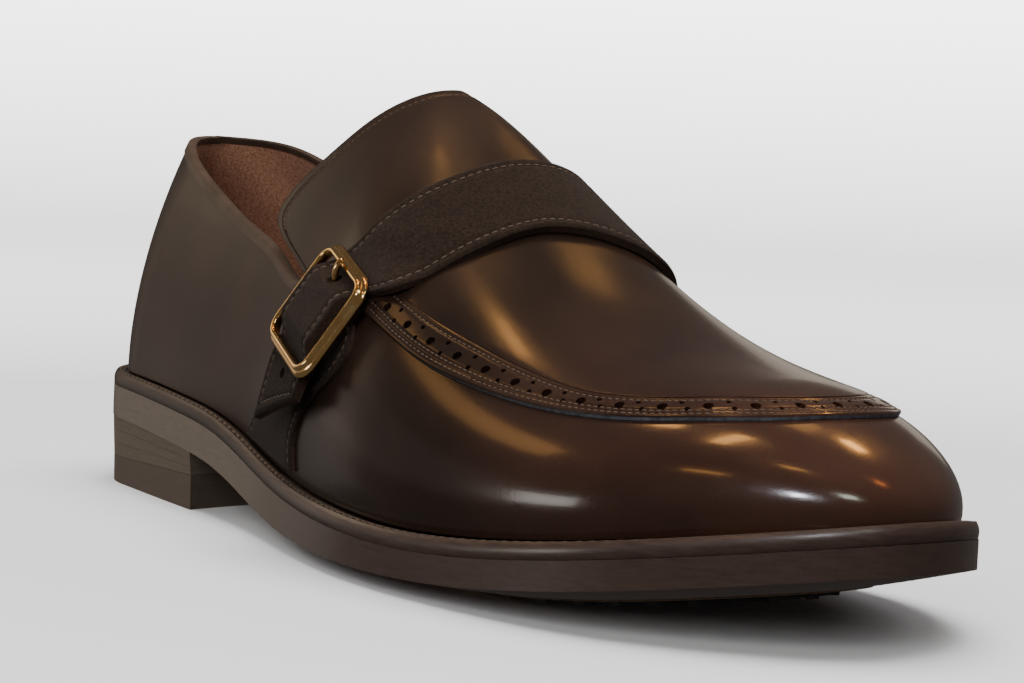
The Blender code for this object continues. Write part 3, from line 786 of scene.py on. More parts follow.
def mesh_object(name, mesh, finishes):
    """An object in the scene from a bmesh, which it uses up."""
    data = bpy.data.meshes.new(name)
    mesh.to_mesh(data)
    mesh.free()
    for finish in finishes:
        data.materials.append(finish)
    made = bpy.data.objects.new(name, data)
    bpy.context.collection.objects.link(made)
    return made


def piece(name, mesh, finishes, nodes=(), sharp=45, bevel=0.0):
    """Finishes a mesh in millimetres: places it in the frame, smooths it and rides it on the shoe."""
    bmesh.ops.translate(mesh, vec=(-ORIGIN_X, 0, 0), verts=mesh.verts)
    bmesh.ops.scale(mesh, vec=(MM, MM, MM), verts=mesh.verts)
    bmesh.ops.remove_doubles(mesh, verts=mesh.verts, dist=MERGE)
    bmesh.ops.recalc_face_normals(mesh, faces=mesh.faces)
    made = mesh_object(name, mesh, finishes)
    made.data.shade_smooth()
    made.data.set_sharp_from_angle(angle=np.radians(sharp))
    if bevel:
        modifier = made.modifiers.new("softened edges", "BEVEL")
        modifier.width = bevel * MM
        modifier.segments = 2
        modifier.limit_method = "ANGLE"
        modifier.angle_limit = np.radians(BEVEL_FROM)
    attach(made, "root")
    if nodes:
        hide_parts(*nodes)


def carve(mesh, cutter):
    """Cuts one closed mesh out of another of two finishes and gives the result back as a mesh."""
    bmesh.ops.remove_doubles(mesh, verts=mesh.verts, dist=MERGE)
    bmesh.ops.recalc_face_normals(mesh, faces=mesh.faces)
    bmesh.ops.recalc_face_normals(cutter, faces=cutter.faces)
    body = mesh_object("body", mesh, [calf, calf])
    tool = mesh_object("tool", cutter, [])
    modifier = body.modifiers.new("cut", "BOOLEAN")
    modifier.operation = "DIFFERENCE"
    modifier.solver = "MANIFOLD"
    modifier.object = tool
    bpy.context.view_layer.update()
    made = bmesh.new()
    made.from_object(body, bpy.context.evaluated_depsgraph_get())
    for spent in (body, tool):
        bpy.data.objects.remove(spent)
    return made


def set_points(verts, place):
    """Lays grid vertices out by place(u, w), with u and w from 0 to 1."""
    u = np.clip([v.co.x / 2 + 0.5 for v in verts], 0, 1)
    w = np.clip([v.co.y / 2 + 0.5 for v in verts], 0, 1)
    for vert, point in zip(verts, place(u, w)):
        vert.co = point


def sheet(stations, across, place):
    """A grid laid out by place(u, w)."""
    mesh = bmesh.new()
    bmesh.ops.create_grid(mesh, x_segments=stations, y_segments=across, size=1)
    set_points(mesh.verts[:], place)
    return mesh


def slab(stations, across, lower, upper, indices=(0, 0, 0)):
    """A closed slab between two grids of stations by across cells, laid out by lower and upper.

    indices are the places of its upper, lower and rim finishes in the piece's list.
    """
    mesh = bmesh.new()
    bmesh.ops.create_grid(mesh, x_segments=stations, y_segments=across, size=1)
    under = mesh.verts[:]
    under_faces = mesh.faces[:]
    grown = bmesh.ops.extrude_face_region(mesh, geom=under_faces)["geom"]
    over = [item for item in grown if isinstance(item, bmesh.types.BMVert)]
    over_faces = {item for item in grown if isinstance(item, bmesh.types.BMFace)}
    for face in mesh.faces:
        face.material_index = indices[2]
    for face in over_faces:
        face.material_index = indices[0]
    for face in under_faces:
        face.material_index = indices[1]
    set_points(under, lower)
    set_points(over, upper)
    return mesh


def swept_ring(count, section, lay):
    """A closed section carried round a closed line; lay(i, out, up) gives its points at station i."""
    rows = np.vstack([section, section[:1]])

    def place(u, w):
        i = np.round(u * count).astype(int) % count
        j = np.round(w * (len(rows) - 1)).astype(int)
        return lay(i, rows[j, :1], rows[j, 1])

    return sheet(count, len(rows) - 1, place)


def stitches(points, ups, length, radius, sink=0.1):
    """A row of sewn stitches: one slim bead per gap between holes, lying along the row."""
    mesh = bmesh.new()
    for i in range(len(points) - 1):
        start = Vector(points[i])
        end = Vector(points[i + 1])
        ahead = (end - start).normalized()
        up = Vector(ups[i]).normalized()
        side = ahead.cross(up).normalized()
        up = side.cross(ahead)
        turn = Matrix((ahead, side, up)).transposed().to_4x4()
        middle = (start + end) / 2 - up * sink
        size = Matrix.Diagonal((length / 2, radius, radius * 0.9, 1))
        bmesh.ops.create_uvsphere(
            mesh,
            u_segments=6,
            v_segments=5,
            radius=1,
            matrix=Matrix.Translation(middle) @ turn @ size,
        )
    return mesh


def evenly(points, pitch):
    """Shares of a dense path, from 0 to 1, that lie about one pitch apart."""
    steps = np.linalg.norm(np.diff(points, axis=0), axis=1)
    run = np.concatenate([[0], np.cumsum(steps)])
    count = max(int(round(run[-1] / pitch)), 1)
    marks = np.linspace(0, run[-1], count + 1)
    return np.interp(marks, run, np.linspace(0, 1, len(points)))


def sewn_row(name, place, pitch, radius, finish, start=0.0, end=1.0):
    """Stitches along a line from start to end; place(t) gives its points and the way up there."""
    dense = np.linspace(start, end, 900)
    points, _ = place(dense)
    marks = start + evenly(points, pitch) * (end - start)
    points, normals = place(marks)
    piece(name, stitches(points, normals, pitch * STITCH_SHARE, radius), [finish])


class Band:
    """A band of the last between two edge curves: t runs along its rows, w from near to far."""

    def __init__(self, rows):
        numbered = np.column_stack([np.arange(len(rows)), np.array(rows, float)])
        self.last_row = len(rows) - 1
        self.edge = {name: spline(numbered, BAND_COLUMNS, name) for name in BAND_COLUMNS[1:]}
        t = np.linspace(0, 1, 1500)
        middle = self.raw(t, np.full_like(t, 0.5), 0)
        run = np.concatenate([[0], np.cumsum(np.linalg.norm(np.diff(middle, axis=0), axis=1))])
        self.length = run[-1]
        self.even = lambda s: np.interp(s, run / run[-1], t)

    def where(self, t, w):
        """Rib and share of the rib at t of the rows and w across."""
        at = t * self.last_row
        x = self.edge["near_x"](at) * (1 - w) + self.edge["far_x"](at) * w
        around = self.edge["near_round"](at) * (1 - w) + self.edge["far_round"](at) * w
        return x, around

    def raw(self, t, w, lift):
        x, around = self.where(t, w)
        return on_last(x, around, lift)

    def width(self, s):
        """Straight distance between the two edges, in millimetres."""
        t = self.even(s)
        ends = self.raw(t, np.zeros_like(t), 0) - self.raw(t, np.ones_like(t), 0)
        return np.linalg.norm(ends, axis=-1)

    def at(self, s, w, lift):
        """Point at an even share s of the length, w across and lift above the last."""
        return self.raw(self.even(s), w, lift)

    def up(self, s, w):
        return last_normal(*self.where(self.even(s), w))

    def row(self, inset, lift):
        """A line for sewn_row, inset from the near edge, or from the far one where it is negative."""

        def place(s):
            share = inset / self.width(s) + (inset < 0)
            return self.at(s, share, lift), self.up(s, share)

        return place


# ---------------------------------------------------------------- sole


def sole_places(inset, height, front=None, hollow=0.0):
    """Places over the sole's outline, moved in by inset and cut at front along a hollow line."""
    first, last = ends_of(inset)
    last = last if front is None else front

    def place(u, w):
        w = 2 * w - 1
        reach = last - hollow * (1 - w**2)
        x = first + (reach - first) * (1 - np.cos(np.pi * u)) / 2
        y = np.where(w < 0, -w * edge_at(x, -1, inset), w * edge_at(x, 1, inset))
        return np.stack([x, y, height(x, w)], axis=1)

    return place


def outsole_bottom(x, w):
    return np.maximum(OUTSOLE_FLOOR, edge_height(x) - belly(x) * (1 - w**2))


def sole_middle(x):
    return (edge_at(x, -1, 0) + edge_at(x, 1, 0)) / 2


def across_sole(x, y):
    """-1 at the outer edge, 0 on the line from heel to toe and 1 at the inner edge."""
    return np.where(y < 0, -y / edge_at(x, -1, 0), y / edge_at(x, 1, 0))


def grip_places(grow, height):
    """Places over the grip's long rounded outline, moved out by grow."""

    def place(u, w):
        forward = -np.cos(np.pi * u)
        x = GRIP_MIDDLE + (GRIP_HALF_LONG + grow) * forward
        rounding = (1 - np.abs(forward) ** GRIP_POWER) ** (1 / GRIP_POWER)
        y = sole_middle(x) + (2 * w - 1) * rounding * (GRIP_HALF_WIDE + grow)
        return np.stack([x, y, height(x, across_sole(x, y))], axis=1)

    return place


def lift_line(x):
    return LIFT_BACK + (LIFT_BREAST - LIFT_BACK) * x / BREAST_X


def rim(count, inset):
    """Points round the sole's edge at even steps, from the back along the outer side, and inward ways."""
    outer = outline(-1, 0)
    inner = outline(1, 0)[::-1]
    loop = np.vstack([outer, inner[1:]])
    run = np.concatenate([[0], np.cumsum(np.linalg.norm(np.diff(loop, axis=0), axis=1))])
    marks = np.linspace(0, run[-1], count, endpoint=False)
    even = np.stack([np.interp(marks, run, loop[:, i]) for i in (0, 1)], axis=1)
    ahead = unit(np.roll(even, -1, axis=0) - np.roll(even, 1, axis=0))
    inward = np.stack([-ahead[:, 1], ahead[:, 0]], axis=1)
    return even + inward * inset, inward


def make_outsole():
    """Leather sole with its pocket for the grip, and a pale cut rim round the pocket."""
    leather = slab(
        160,
        28,
        sole_places(0, outsole_bottom),
        sole_places(0, lambda x, w: seat_height(x)),
        (0, 1, 0),
    )
    below = 4  # the cutter reaches past the bottom
    pocket = slab(
        60,
        16,
        grip_places(GAP, lambda x, w: outsole_bottom(x, w) - below),
        grip_places(GAP, lambda x, w: outsole_bottom(x, w) + GRIP_THICK - GRIP_PROUD),
    )
    leather = carve(leather, pocket)
    piece("outsole_leather", leather, [edge_wax, bottom], ["outsole"], bevel=0.35)
    faces = [grip_rim_places(RIM_START, drop) for drop in RIM_FACES]
    ring = slab(120, 3, *faces)
    piece("grip_seat_rim", ring, [rim_leather])


def grip_rim_places(grow, drop):
    """A thin ring round the grip: u goes round it and w across it."""

    def place(u, w):
        c = np.cos(2 * np.pi * u)
        s = np.sin(2 * np.pi * u)
        out = grow + RIM_WIDE * w
        x = GRIP_MIDDLE - (GRIP_HALF_LONG + out) * np.sign(c) * np.abs(c) ** (2 / GRIP_POWER)
        y = (GRIP_HALF_WIDE + out) * np.sign(s) * np.abs(s) ** (2 / GRIP_POWER) + sole_middle(x)
        return np.stack([x, y, outsole_bottom(x, across_sole(x, y)) + drop], axis=1)

    return place


def make_welt():
    """Welt strip all round, with the groove that its stitches lie in."""
    count = 420
    edge, inward = rim(count, 0.0)

    def lay(i, out, up):
        return np.column_stack([edge[i] + inward[i] * out, seat_height(edge[i, 0]) + up])

    strip = swept_ring(count, WELT_SECTION, lay)
    piece("welt_strip", strip, [welt_wax], ["welt"], sharp=50)
    line, _ = rim(2000, WELT_SEAM_IN)
    line = np.vstack([line, line[:1]])

    def stitch_line(t):
        spot = t * (len(line) - 1)
        flat = np.stack([np.interp(spot, np.arange(len(line)), line[:, k]) for k in (0, 1)], axis=1)
        points = np.column_stack([flat, feather_height(flat[:, 0]) - 0.05])
        return points, np.tile((0, 0, 1.0), (len(points), 1))

    sewn_row("welt_stitches", stitch_line, WELT_PITCH, WELT_THREAD, welt_thread)


def heel_places(height, inset):
    return sole_places(inset, height, front=BREAST_X, hollow=BREAST_HOLLOW)


def make_heel():
    """Stacked leather lifts a hair apart, on a rubber lift with a ridged strike patch."""
    seam = 0.03  # half the open joint between two lifts
    clear = 0.05  # above the rubber lift
    taper = (0.8, 0.15)  # share of the inset at the bottom and at the top
    stack = bmesh.new()
    for layer in range(HEEL_LIFTS):

        def level(share, nudge):
            def height(x, w):
                low = lift_line(x) + clear
                return low + (edge_height(x) - seam - low) * share + nudge

            return height

        shares = (layer / HEEL_LIFTS, (layer + 1) / HEEL_LIFTS)
        insets = [HEEL_INSET * (taper[0] + (taper[1] - taper[0]) * share) for share in shares]
        lift = slab(
            60,
            16,
            heel_places(level(shares[0], seam), insets[0]),
            heel_places(level(shares[1], -seam), insets[1]),
        )
        join(stack, lift)
    piece("heel_lifts", stack, [heel_leather], ["heel_stack"], bevel=0.18)
    ridge_pitch = 3.2
    ridge_deep = 0.55
    patch = (5, 34)
    margin = 0.12  # share of the half width left smooth at each side

    def tread(x, w):
        ridges = 0.5 - 0.5 * np.cos(2 * np.pi * x / ridge_pitch)
        lengthwise = smooth_step((patch[1] - x) / 2) * smooth_step((x - patch[0]) / 2)
        return ridge_deep * ridges * lengthwise * smooth_step((1 - np.abs(w)) / margin)

    top = slab(
        190,
        20,
        heel_places(tread, HEEL_INSET),
        heel_places(lambda x, w: lift_line(x), HEEL_INSET * taper[0]),
        (0, 0, 1),
    )
    piece("heel_top_lift", top, [rubber, lift_edge], ["top_lift"], bevel=0.25)


def make_grip():
    """Rubber plate with a woven tread: short bars that swell at both ends, turned by turns."""
    seated = 0.3  # under the pocket's roof
    plate = slab(
        90,
        24,
        grip_places(0, lambda x, w: outsole_bottom(x, w) - GRIP_PROUD + LUG_DEEP),
        grip_places(0, lambda x, w: outsole_bottom(x, w) + GRIP_THICK - GRIP_PROUD - seated),
    )
    piece("grip_plate", plate, [rubber], ["forepart_grip"])
    half = 3.53
    neck = 1.18
    neck_wide = 0.735
    end_wide = 1.52
    shape = [(-half, -end_wide), (-neck, -neck_wide), (neck, -neck_wide), (half, -end_wide)]
    shape += [(half, end_wide), (neck, neck_wide), (-neck, neck_wide), (-half, end_wide)]
    pitch = 5.4
    root = 0.05  # each lug starts this deep in the plate
    reach_x = GRIP_HALF_LONG - LUGS_IN
    reach_y = GRIP_HALF_WIDE - LUGS_IN
    lugs = bmesh.new()
    for i in range(-int(reach_x / pitch), int(reach_x / pitch) + 1):
        for j in range(-int(reach_y / pitch), int(reach_y / pitch) + 1):
            x = GRIP_MIDDLE + i * pitch
            y = float(sole_middle(x)) + j * pitch
            outside = abs(i * pitch / reach_x) ** GRIP_POWER + abs(j * pitch / reach_y) ** GRIP_POWER
            if outside > 1:
                continue
            base = float(outsole_bottom(x, across_sole(x, y))) - GRIP_PROUD
            turned = (i + j) % 2
            foot = base + LUG_DEEP + root
            corners = [(b, a) if turned else (a, b) for a, b in shape]
            verts = [lugs.verts.new((x + a, y + b, foot)) for a, b in corners]
            grown = bmesh.ops.extrude_face_region(lugs, geom=[lugs.faces.new(verts)])["geom"]
            tops = [item for item in grown if isinstance(item, bmesh.types.BMVert)]
            bmesh.ops.translate(lugs, vec=(0, 0, base - foot), verts=tops)
            bmesh.ops.scale(lugs, vec=LUG_TAPER, verts=tops, space=Matrix.Translation((-x, -y, 0)))
    piece("grip_lugs", lugs, [rubber], sharp=30)


# ---------------------------------------------------------------- upper


def collar_round(x, side, inset, drop):
    """Share of the rib at which the wall ends: its collar, or 0.5 where the upper is closed."""
    line = topline["outer_z" if side < 0 else "inner_z"]
    low = np.zeros_like(x)
    high = np.full_like(x, 0.5)
    for _ in range(HALVINGS):
        middle = (low + high) / 2
        point = last_point(x, middle if side < 0 else 1 - middle, inset, drop)
        under = point[..., 2] < line(point[..., 0])
        low = np.where(under, middle, low)
        high = np.where(under, high, middle)
    return np.where(low > 0.499, 0.5, low)


def make_upper():
    """The shell: calf outside, suede lining inside, and a dyed edge where the two meet."""
    stations = 300
    side_rows = 46
    across = 2 * side_rows + 1
    mesh = bmesh.new()
    bmesh.ops.create_grid(mesh, x_segments=stations, y_segments=across, size=1)
    u = np.array([v.co.x for v in mesh.verts]) / 2 + 0.5
    row = np.round((np.array([v.co.y for v in mesh.verts]) / 2 + 0.5) * across).astype(int)
    side = np.where(row <= side_rows, -1, 1)
    share = np.where(side < 0, row, across - row) / side_rows
    layer = mesh.verts.layers.float.new("share")
    layer_u = mesh.verts.layers.float.new("u")
    layer_side = mesh.verts.layers.float.new("side")
    for vert, a, b, c in zip(mesh.verts, u, share, side):
        vert[layer_u] = a
        vert[layer] = b
        vert[layer_side] = c

    def lay(verts, inset, drop):
        u = np.array([v[layer_u] for v in verts])
        share = np.array([v[layer] for v in verts])
        side = np.array([v[layer_side] for v in verts])
        back, front = ends_of(inset)
        x = back + (front - back) * (1 - np.cos(np.pi * u)) / 2
        tops = np.where(side < 0, collar_round(x, -1, inset, drop), collar_round(x, 1, inset, drop))
        around = share * tops
        around = np.where(side < 0, around, 1 - around)
        points = last_point(x, around, inset, drop) + (0, 0, GAP)
        for vert, point in zip(verts, points):
            vert.co = point
        return tops

    tops = lay(mesh.verts[:], FEATHER_INSET, 0)
    open_vert = {v.index: bool(t < 0.5) for v, t in zip(mesh.verts, tops)}
    rows = {v.index: int(r) for v, r in zip(mesh.verts, row)}
    bridge = [
        face
        for face in mesh.faces
        if {rows[v.index] for v in face.verts} == {side_rows, side_rows + 1}
        and any(open_vert[v.index] for v in face.verts)
    ]
    bmesh.ops.delete(mesh, geom=bridge, context="FACES_ONLY")
    bmesh.ops.remove_doubles(mesh, verts=mesh.verts, dist=1e-4)
    outside = mesh.faces[:]
    grown = bmesh.ops.extrude_face_region(mesh, geom=outside)["geom"]
    inside = [item for item in grown if isinstance(item, bmesh.types.BMFace)]
    inside_verts = [item for item in grown if isinstance(item, bmesh.types.BMVert)]
    lay(inside_verts, FEATHER_INSET + WALL, WALL)
    for face in mesh.faces:
        face.material_index = 2
    for face in outside:
        face.material_index = 0
    for face in inside:
        face.material_index = 1
    piece("upper_shell", mesh, [calf, lining, dyed_edge], ["upper"], sharp=60)


def make_collar():
    """Binding folded over the collar's edge, from the outer notch round the back to the inner one."""
    tape = (0.02, 0.42)  # its two faces, off the wall
    turned = 0.3  # share of its width that lies down each side of the wall
    flat = 0.45  # height of the fold over the wall
    outside_deep = 1.6
    inside_deep = 1.2
    squareness = 0.55
    swing = np.linspace(-1, 1, 420)
    back = ends_of(FEATHER_INSET)[0]
    x = back + (NOTCH_X - back) * np.abs(swing) ** 1.6
    side = np.where(swing < 0, -1, 1)

    def rim_of(inset, drop):
        """The wall's outer or inner edge at the collar, and the way down the wall from it."""
        along = np.maximum(x, ends_of(inset)[0])
        rounds = [collar_round(along, way, inset, drop) for way in (-1, 1)]
        tops = np.where(side < 0, rounds[0], 1 - rounds[1])
        edge = last_point(along, tops, inset, drop)
        return edge + (0, 0, GAP), unit(last_point(along, tops + 0.02 * side, inset, drop) - edge)

    outer, down_outer = rim_of(FEATHER_INSET, 0)
    inner, down_inner = rim_of(FEATHER_INSET + WALL, WALL)
    middle = (outer + inner) / 2
    half = np.linalg.norm(outer - inner, axis=1) / 2
    out = unit(outer - inner)
    down = unit(down_outer + down_inner)

    def place(lift):
        def at(u, w):
            i = np.round(u * (len(x) - 1)).astype(int)
            angle = np.pi * np.clip((w - turned) / (1 - 2 * turned), 0, 1)
            sideways = np.sign(np.cos(angle)) * np.abs(np.cos(angle)) ** squareness
            upward = np.sin(angle) ** squareness
            fold = out[i] * (sideways * (half[i] + lift))[:, None]
            fold = fold - down[i] * (upward * (flat + lift))[:, None]
            deep_outer = np.where(w < turned, (1 - w / turned) * outside_deep, 0)
            deep_inner = np.where(w > 1 - turned, (w - 1 + turned) / turned * inside_deep, 0)
            below = down_outer[i] * deep_outer[:, None] + down_inner[i] * deep_inner[:, None]
            return middle[i] + fold + below

        return at

    mesh = slab(len(x) - 1, 30, place(tape[0]), place(tape[1]))
    piece("collar_binding", mesh, [binding], sharp=60)


def throat_clear(points):
    """1 where the tongue hangs free behind the shell's edge, 0 where it lies on the shell."""
    line = np.where(
        points[..., 1] < 0,
        topline["outer_z"](points[..., 0]),
        topline["inner_z"](points[..., 0]),
    )
    return smooth_step((points[..., 2] - line - 0.5) / 3)


def make_tongue():
    """Lined flap with a skived edge, sewn round; it hangs free behind the shell's edge."""
    band = Band(TONGUE_ROWS)
    length = 120.0
    free_drop = 1.0  # its lining hangs this much lower where it is free
    shares = np.linspace(0, 1, 300)
    near, far = [band.raw(shares, np.full(300, w), 0) for w in (0.0, 1.0)]
    widths = np.linalg.norm(near - far, axis=1)

    def lower(u, w):
        free = throat_clear(band.raw(w, u, 0))
        x, around = band.where(w, u)
        return on_last(x, around, 0.08 - free_drop * free)

    def upper(u, w):
        x, around = band.where(w, u)
        front = u * np.interp(w, shares, widths)
        ends = np.minimum(w, 1 - w) * length
        fall = rounded_edge(front, EDGE_RADIUS, EDGE_FALL) + rounded_edge(ends, EDGE_RADIUS, EDGE_FALL)
        return on_last(x, around, APRON_THICK - fall - trough(front, TONGUE_SEAM_IN, 0.55, 0.35))

    mesh = slab(110, 240, lower, upper, (0, 1, 2))
    piece("tongue_flap", mesh, [calf, lining, dyed_edge], ["tongue"], sharp=60)

    def seam(t):
        share = TONGUE_SEAM_IN / np.interp(t, shares, widths)
        return band.raw(t, share, APRON_THICK - PULLED_IN), last_normal(*band.where(t, share))

    sewn_row("tongue_stitches", seam, TONGUE_PITCH, TONGUE_THREAD, calf_thread, 0.12, 0.88)


def punches(band):
    """Cutters for the brogueing: one large hole, then a pair of small ones, all along the band."""
    count = int(band.length / PUNCH_PITCH)
    marks = [(k + 0.5) / count for k in range(count)]
    holes = [(s, 0.5, PUNCH_BIG) for s in marks]
    for s in marks[:-1]:
        holes += [(s + 0.5 / count, w, PUNCH_SMALL) for w in PUNCH_PAIR]
    cutters = bmesh.new()
    for s, w, radius in holes:
        s = np.array([s])
        w = np.array([w])
        turn = Vector(band.up(s, w)[0]).to_track_quat("Z", "Y").to_matrix().to_4x4()
        bmesh.ops.create_cone(
            cutters,
            cap_ends=True,
            segments=14,
            radius1=radius * 0.92,
            radius2=radius * 1.05,
            depth=PUNCH_DEEP,
            matrix=Matrix.Translation(band.at(s, w, PUNCH_MIDDLE)[0]) @ turn,
        )
    return cutters


def make_apron():
    """The brogued band with its inked edge and three rows of stitches, and the plug inside it."""
    band = Band(APRON_ROWS)
    pull = 0.25

    def height(s, w):
        near = w * band.width(s)
        far = (1 - w) * band.width(s)
        rows = trough(near, APRON_SEAMS_IN["outer"], 0.4, pull)
        rows = rows + trough(near, APRON_SEAMS_IN["middle"], 0.4, pull)
        rows = rows + trough(far, -APRON_SEAMS_IN["inner"], 0.4, pull)
        return APRON_THICK - rounded_edge(near, 0.7, 0.4) - rows - trough(far, 0, 0.5, 0.2)

    def lower(u, w):
        return band.at(u, w, 0.06)

    def upper(u, w):
        return band.at(u, w, height(u, w))

    strip = carve(slab(460, 26, lower, upper, (0, 0, 1)), punches(band))
    piece("apron_band", strip, [calf, ink], sharp=35)
    for name, inset in APRON_SEAMS_IN.items():
        row = band.row(inset, APRON_THICK - PULLED_IN)
        sewn_row(f"apron_stitches_{name}", row, APRON_PITCH, APRON_THREAD, calf_thread)

    def plug_place(lift, seam=0.0):
        def at(u, w):
            t = (1 - (1 - u) ** 1.5) * band.last_row / 2
            x_near = band.edge["far_x"](t)
            v_near = band.edge["far_round"](t)
            x_far = band.edge["far_x"](band.last_row - t)
            v_far = band.edge["far_round"](band.last_row - t)
            under_strap = np.maximum(PLUG_BACK - x_near, 0) * (4 * w * (1 - w)) ** 0.6
            x = x_near * (1 - w) + x_far * w + under_strap
            around = v_near * (1 - w) + v_far * w
            reach = np.linalg.norm(on_last(x_near, v_near, 0) - on_last(x_far, v_far, 0), axis=-1)
            edge = np.minimum(w, 1 - w) * reach
            return on_last(x, around, lift - trough(edge, -0.05, 0.5, seam))

        return at

    plug = slab(170, 90, plug_place(0.06), plug_place(APRON_THICK, 0.08))
    piece("apron_plug", plug, [calf], sharp=60)


# ---------------------------------------------------------------- strap and buckle


def buckle_frame():
    """Centre and axes of the buckle: down along the strap, across it, and outward."""
    place = (np.array(BUCKLE_X), np.array(BUCKLE_ROUND))
    centre = last_point(*place) + last_normal(*place) * BUCKLE_RAISED
    outward = np.array(BUCKLE_OUTWARD) / np.linalg.norm(BUCKLE_OUTWARD)
    down = np.array(BUCKLE_DOWN) - outward * np.dot(BUCKLE_DOWN, outward)
    down /= np.linalg.norm(down)
    return centre, down, np.cross(outward, down), outward


def buckle_placement():
    """Turns the buckle's own x, y, z into down, across and outward on the shoe."""
    centre, down, across, outward = buckle_frame()
    turn = Matrix((down, across, outward)).transposed().to_4x4()
    return Matrix.Translation(centre) @ turn


def strap_points(band, s, w, extra):
    """A point of the strap and its outward direction.

    Over the instep it lies on the last. Through the buckle and down to its tip it runs in the
    buckle's own frame: under the end bars, over the centre bar, and straight on off the quarter.
    """
    x, around = band.where(band.even(s), w)
    points = last_point(x, around)
    normals = last_normal(x, around)
    centre, down, across, outward = buckle_frame()
    along = (points - centre) @ down
    aside = (points - centre) @ across
    bar = STRAP_UNDER_BARS + STRAP_HILL * smooth_step((HILL_START - np.abs(along)) / HILL_CLIMB)
    past = along - FREE_START
    bar = bar - FREE_SLOPE * (np.sqrt(past**2 + FREE_BEND**2) + past) / 2
    above = smooth_step((-along - BUCKLE_LONG / 2) / RUN_IN)
    above = np.where(normals @ outward < FACING, 1, above)
    outer_side = smooth_step((points[:, 2] - ON_APRON_OUTER) / APRON_CLIMB) * above
    inner_side = smooth_step((points[:, 2] - ON_APRON_INNER) / APRON_CLIMB)
    over = np.where(normals @ outward < FACING, inner_side, outer_side)
    height = STRAP_CLEAR + over * APRON_THICK + extra
    straight = centre + down * along[:, None] + across * aside[:, None]
    straight = straight + outward * (bar + extra)[:, None] - (0, 0, GAP)
    lying = points + normals * height[:, None]
    placed = lying * above[:, None] + straight * (1 - above)[:, None] + (0, 0, GAP)
    return placed, unit(normals * above[:, None] + outward * (1 - above)[:, None])


def suede_height(edge, thick):
    """Height of a sewn suede strip at a distance from its edge: a rounded edge and a stitch trough."""
    seam = trough(edge, STRAP_SEAM_IN, 0.55, 0.3)
    return thick - rounded_edge(edge, EDGE_RADIUS, EDGE_FALL) - seam


def make_strap():
    """Suede strap with its cut edge, its holes and its stitches."""
    band = Band(STRAP_ROWS)

    def lower(u, w):
        return strap_points(band, u, w, np.zeros_like(u))[0]

    def upper(u, w):
        edge = np.minimum(np.minimum(w, 1 - w) * band.width(u), u * band.length)
        return strap_points(band, u, w, suede_height(edge, STRAP_THICK))[0]

    mesh = slab(330, 40, lower, upper, (0, 1, 1))
    cutters = bmesh.new()
    for along, radius in STRAP_HOLES:
        bmesh.ops.create_cone(
            cutters,
            cap_ends=True,
            segments=20,
            radius1=radius,
            radius2=radius,
            depth=14,
            matrix=buckle_placement() @ Matrix.Translation((along, 0, 0)),
        )
    piece("strap_band", carve(mesh, cutters), [suede, strap_edge], ["strap"], sharp=40)
    sewn = STRAP_THICK - PULLED_IN

    def rear(s):
        return strap_points(band, s, STRAP_SEAM_IN / band.width(s), sewn)

    def front(s):
        return strap_points(band, s, 1 - STRAP_SEAM_IN / band.width(s), sewn)

    def tip(t):
        across = TIP_MARGIN + (1 - 2 * TIP_MARGIN) * t
        return strap_points(band, np.full_like(t, TIP_SEAM_IN / band.length), across, sewn)

    sew_suede("strap_stitches_rear", rear, 0.012, 0.99)
    sew_suede("strap_stitches_front", front, 0.02, 0.99)
    sew_suede("strap_stitches_tip", tip, 0.0, 1.0)


def sew_suede(name, line, start, end):
    sewn_row(name, line, SUEDE_PITCH, SUEDE_THREAD, suede_thread, start, end)


def make_side_anchor():
    """Suede patch on the outer side that holds the buckle."""
    anchor = Band(ANCHOR_ROWS)

    def lower(u, w):
        return anchor.at(u, w, 0.05)

    def upper(u, w):
        edge = np.minimum(w, 1 - w) * anchor.width(u)
        return anchor.at(u, w, GAP * 0.2 + suede_height(edge, ANCHOR_THICK))

    patch = slab(110, 36, lower, upper, (0, 1, 1))
    piece("side_anchor_patch", patch, [suede, strap_edge], ["side_anchor"], sharp=50)
    for name, inset in (("rear", ANCHOR_SEAM_IN), ("front", -ANCHOR_SEAM_IN)):
        sew_suede(f"anchor_stitches_{name}", anchor.row(inset, ANCHOR_THICK - 0.1), 0.02, 0.98)


def rounded_rectangle(long, wide, corner, steps=9, straight=6):
    """Points and outward directions round a rectangle with round corners, at even turns."""
    points = []
    ways = []
    for quarter, (a, b) in enumerate(((1, 1), (-1, 1), (-1, -1), (1, -1))):
        centre = np.array((a * (long / 2 - corner), b * (wide / 2 - corner)))
        for angle in np.linspace(quarter, quarter + 1, steps) * np.pi / 2:
            way = np.array((np.cos(angle), np.sin(angle)))
            points.append(centre + corner * way)
            ways.append(way)
        run = np.array(((-1, 0), (0, -1), (1, 0), (0, 1))[quarter])
        run = run * (np.array((long, wide)) - 2 * corner)
        turned = points[-1]
        for share in np.linspace(0, 1, straight + 1)[1:-1]:
            points.append(turned + run * share)
            ways.append(way)
    return np.array(points), np.array(ways)


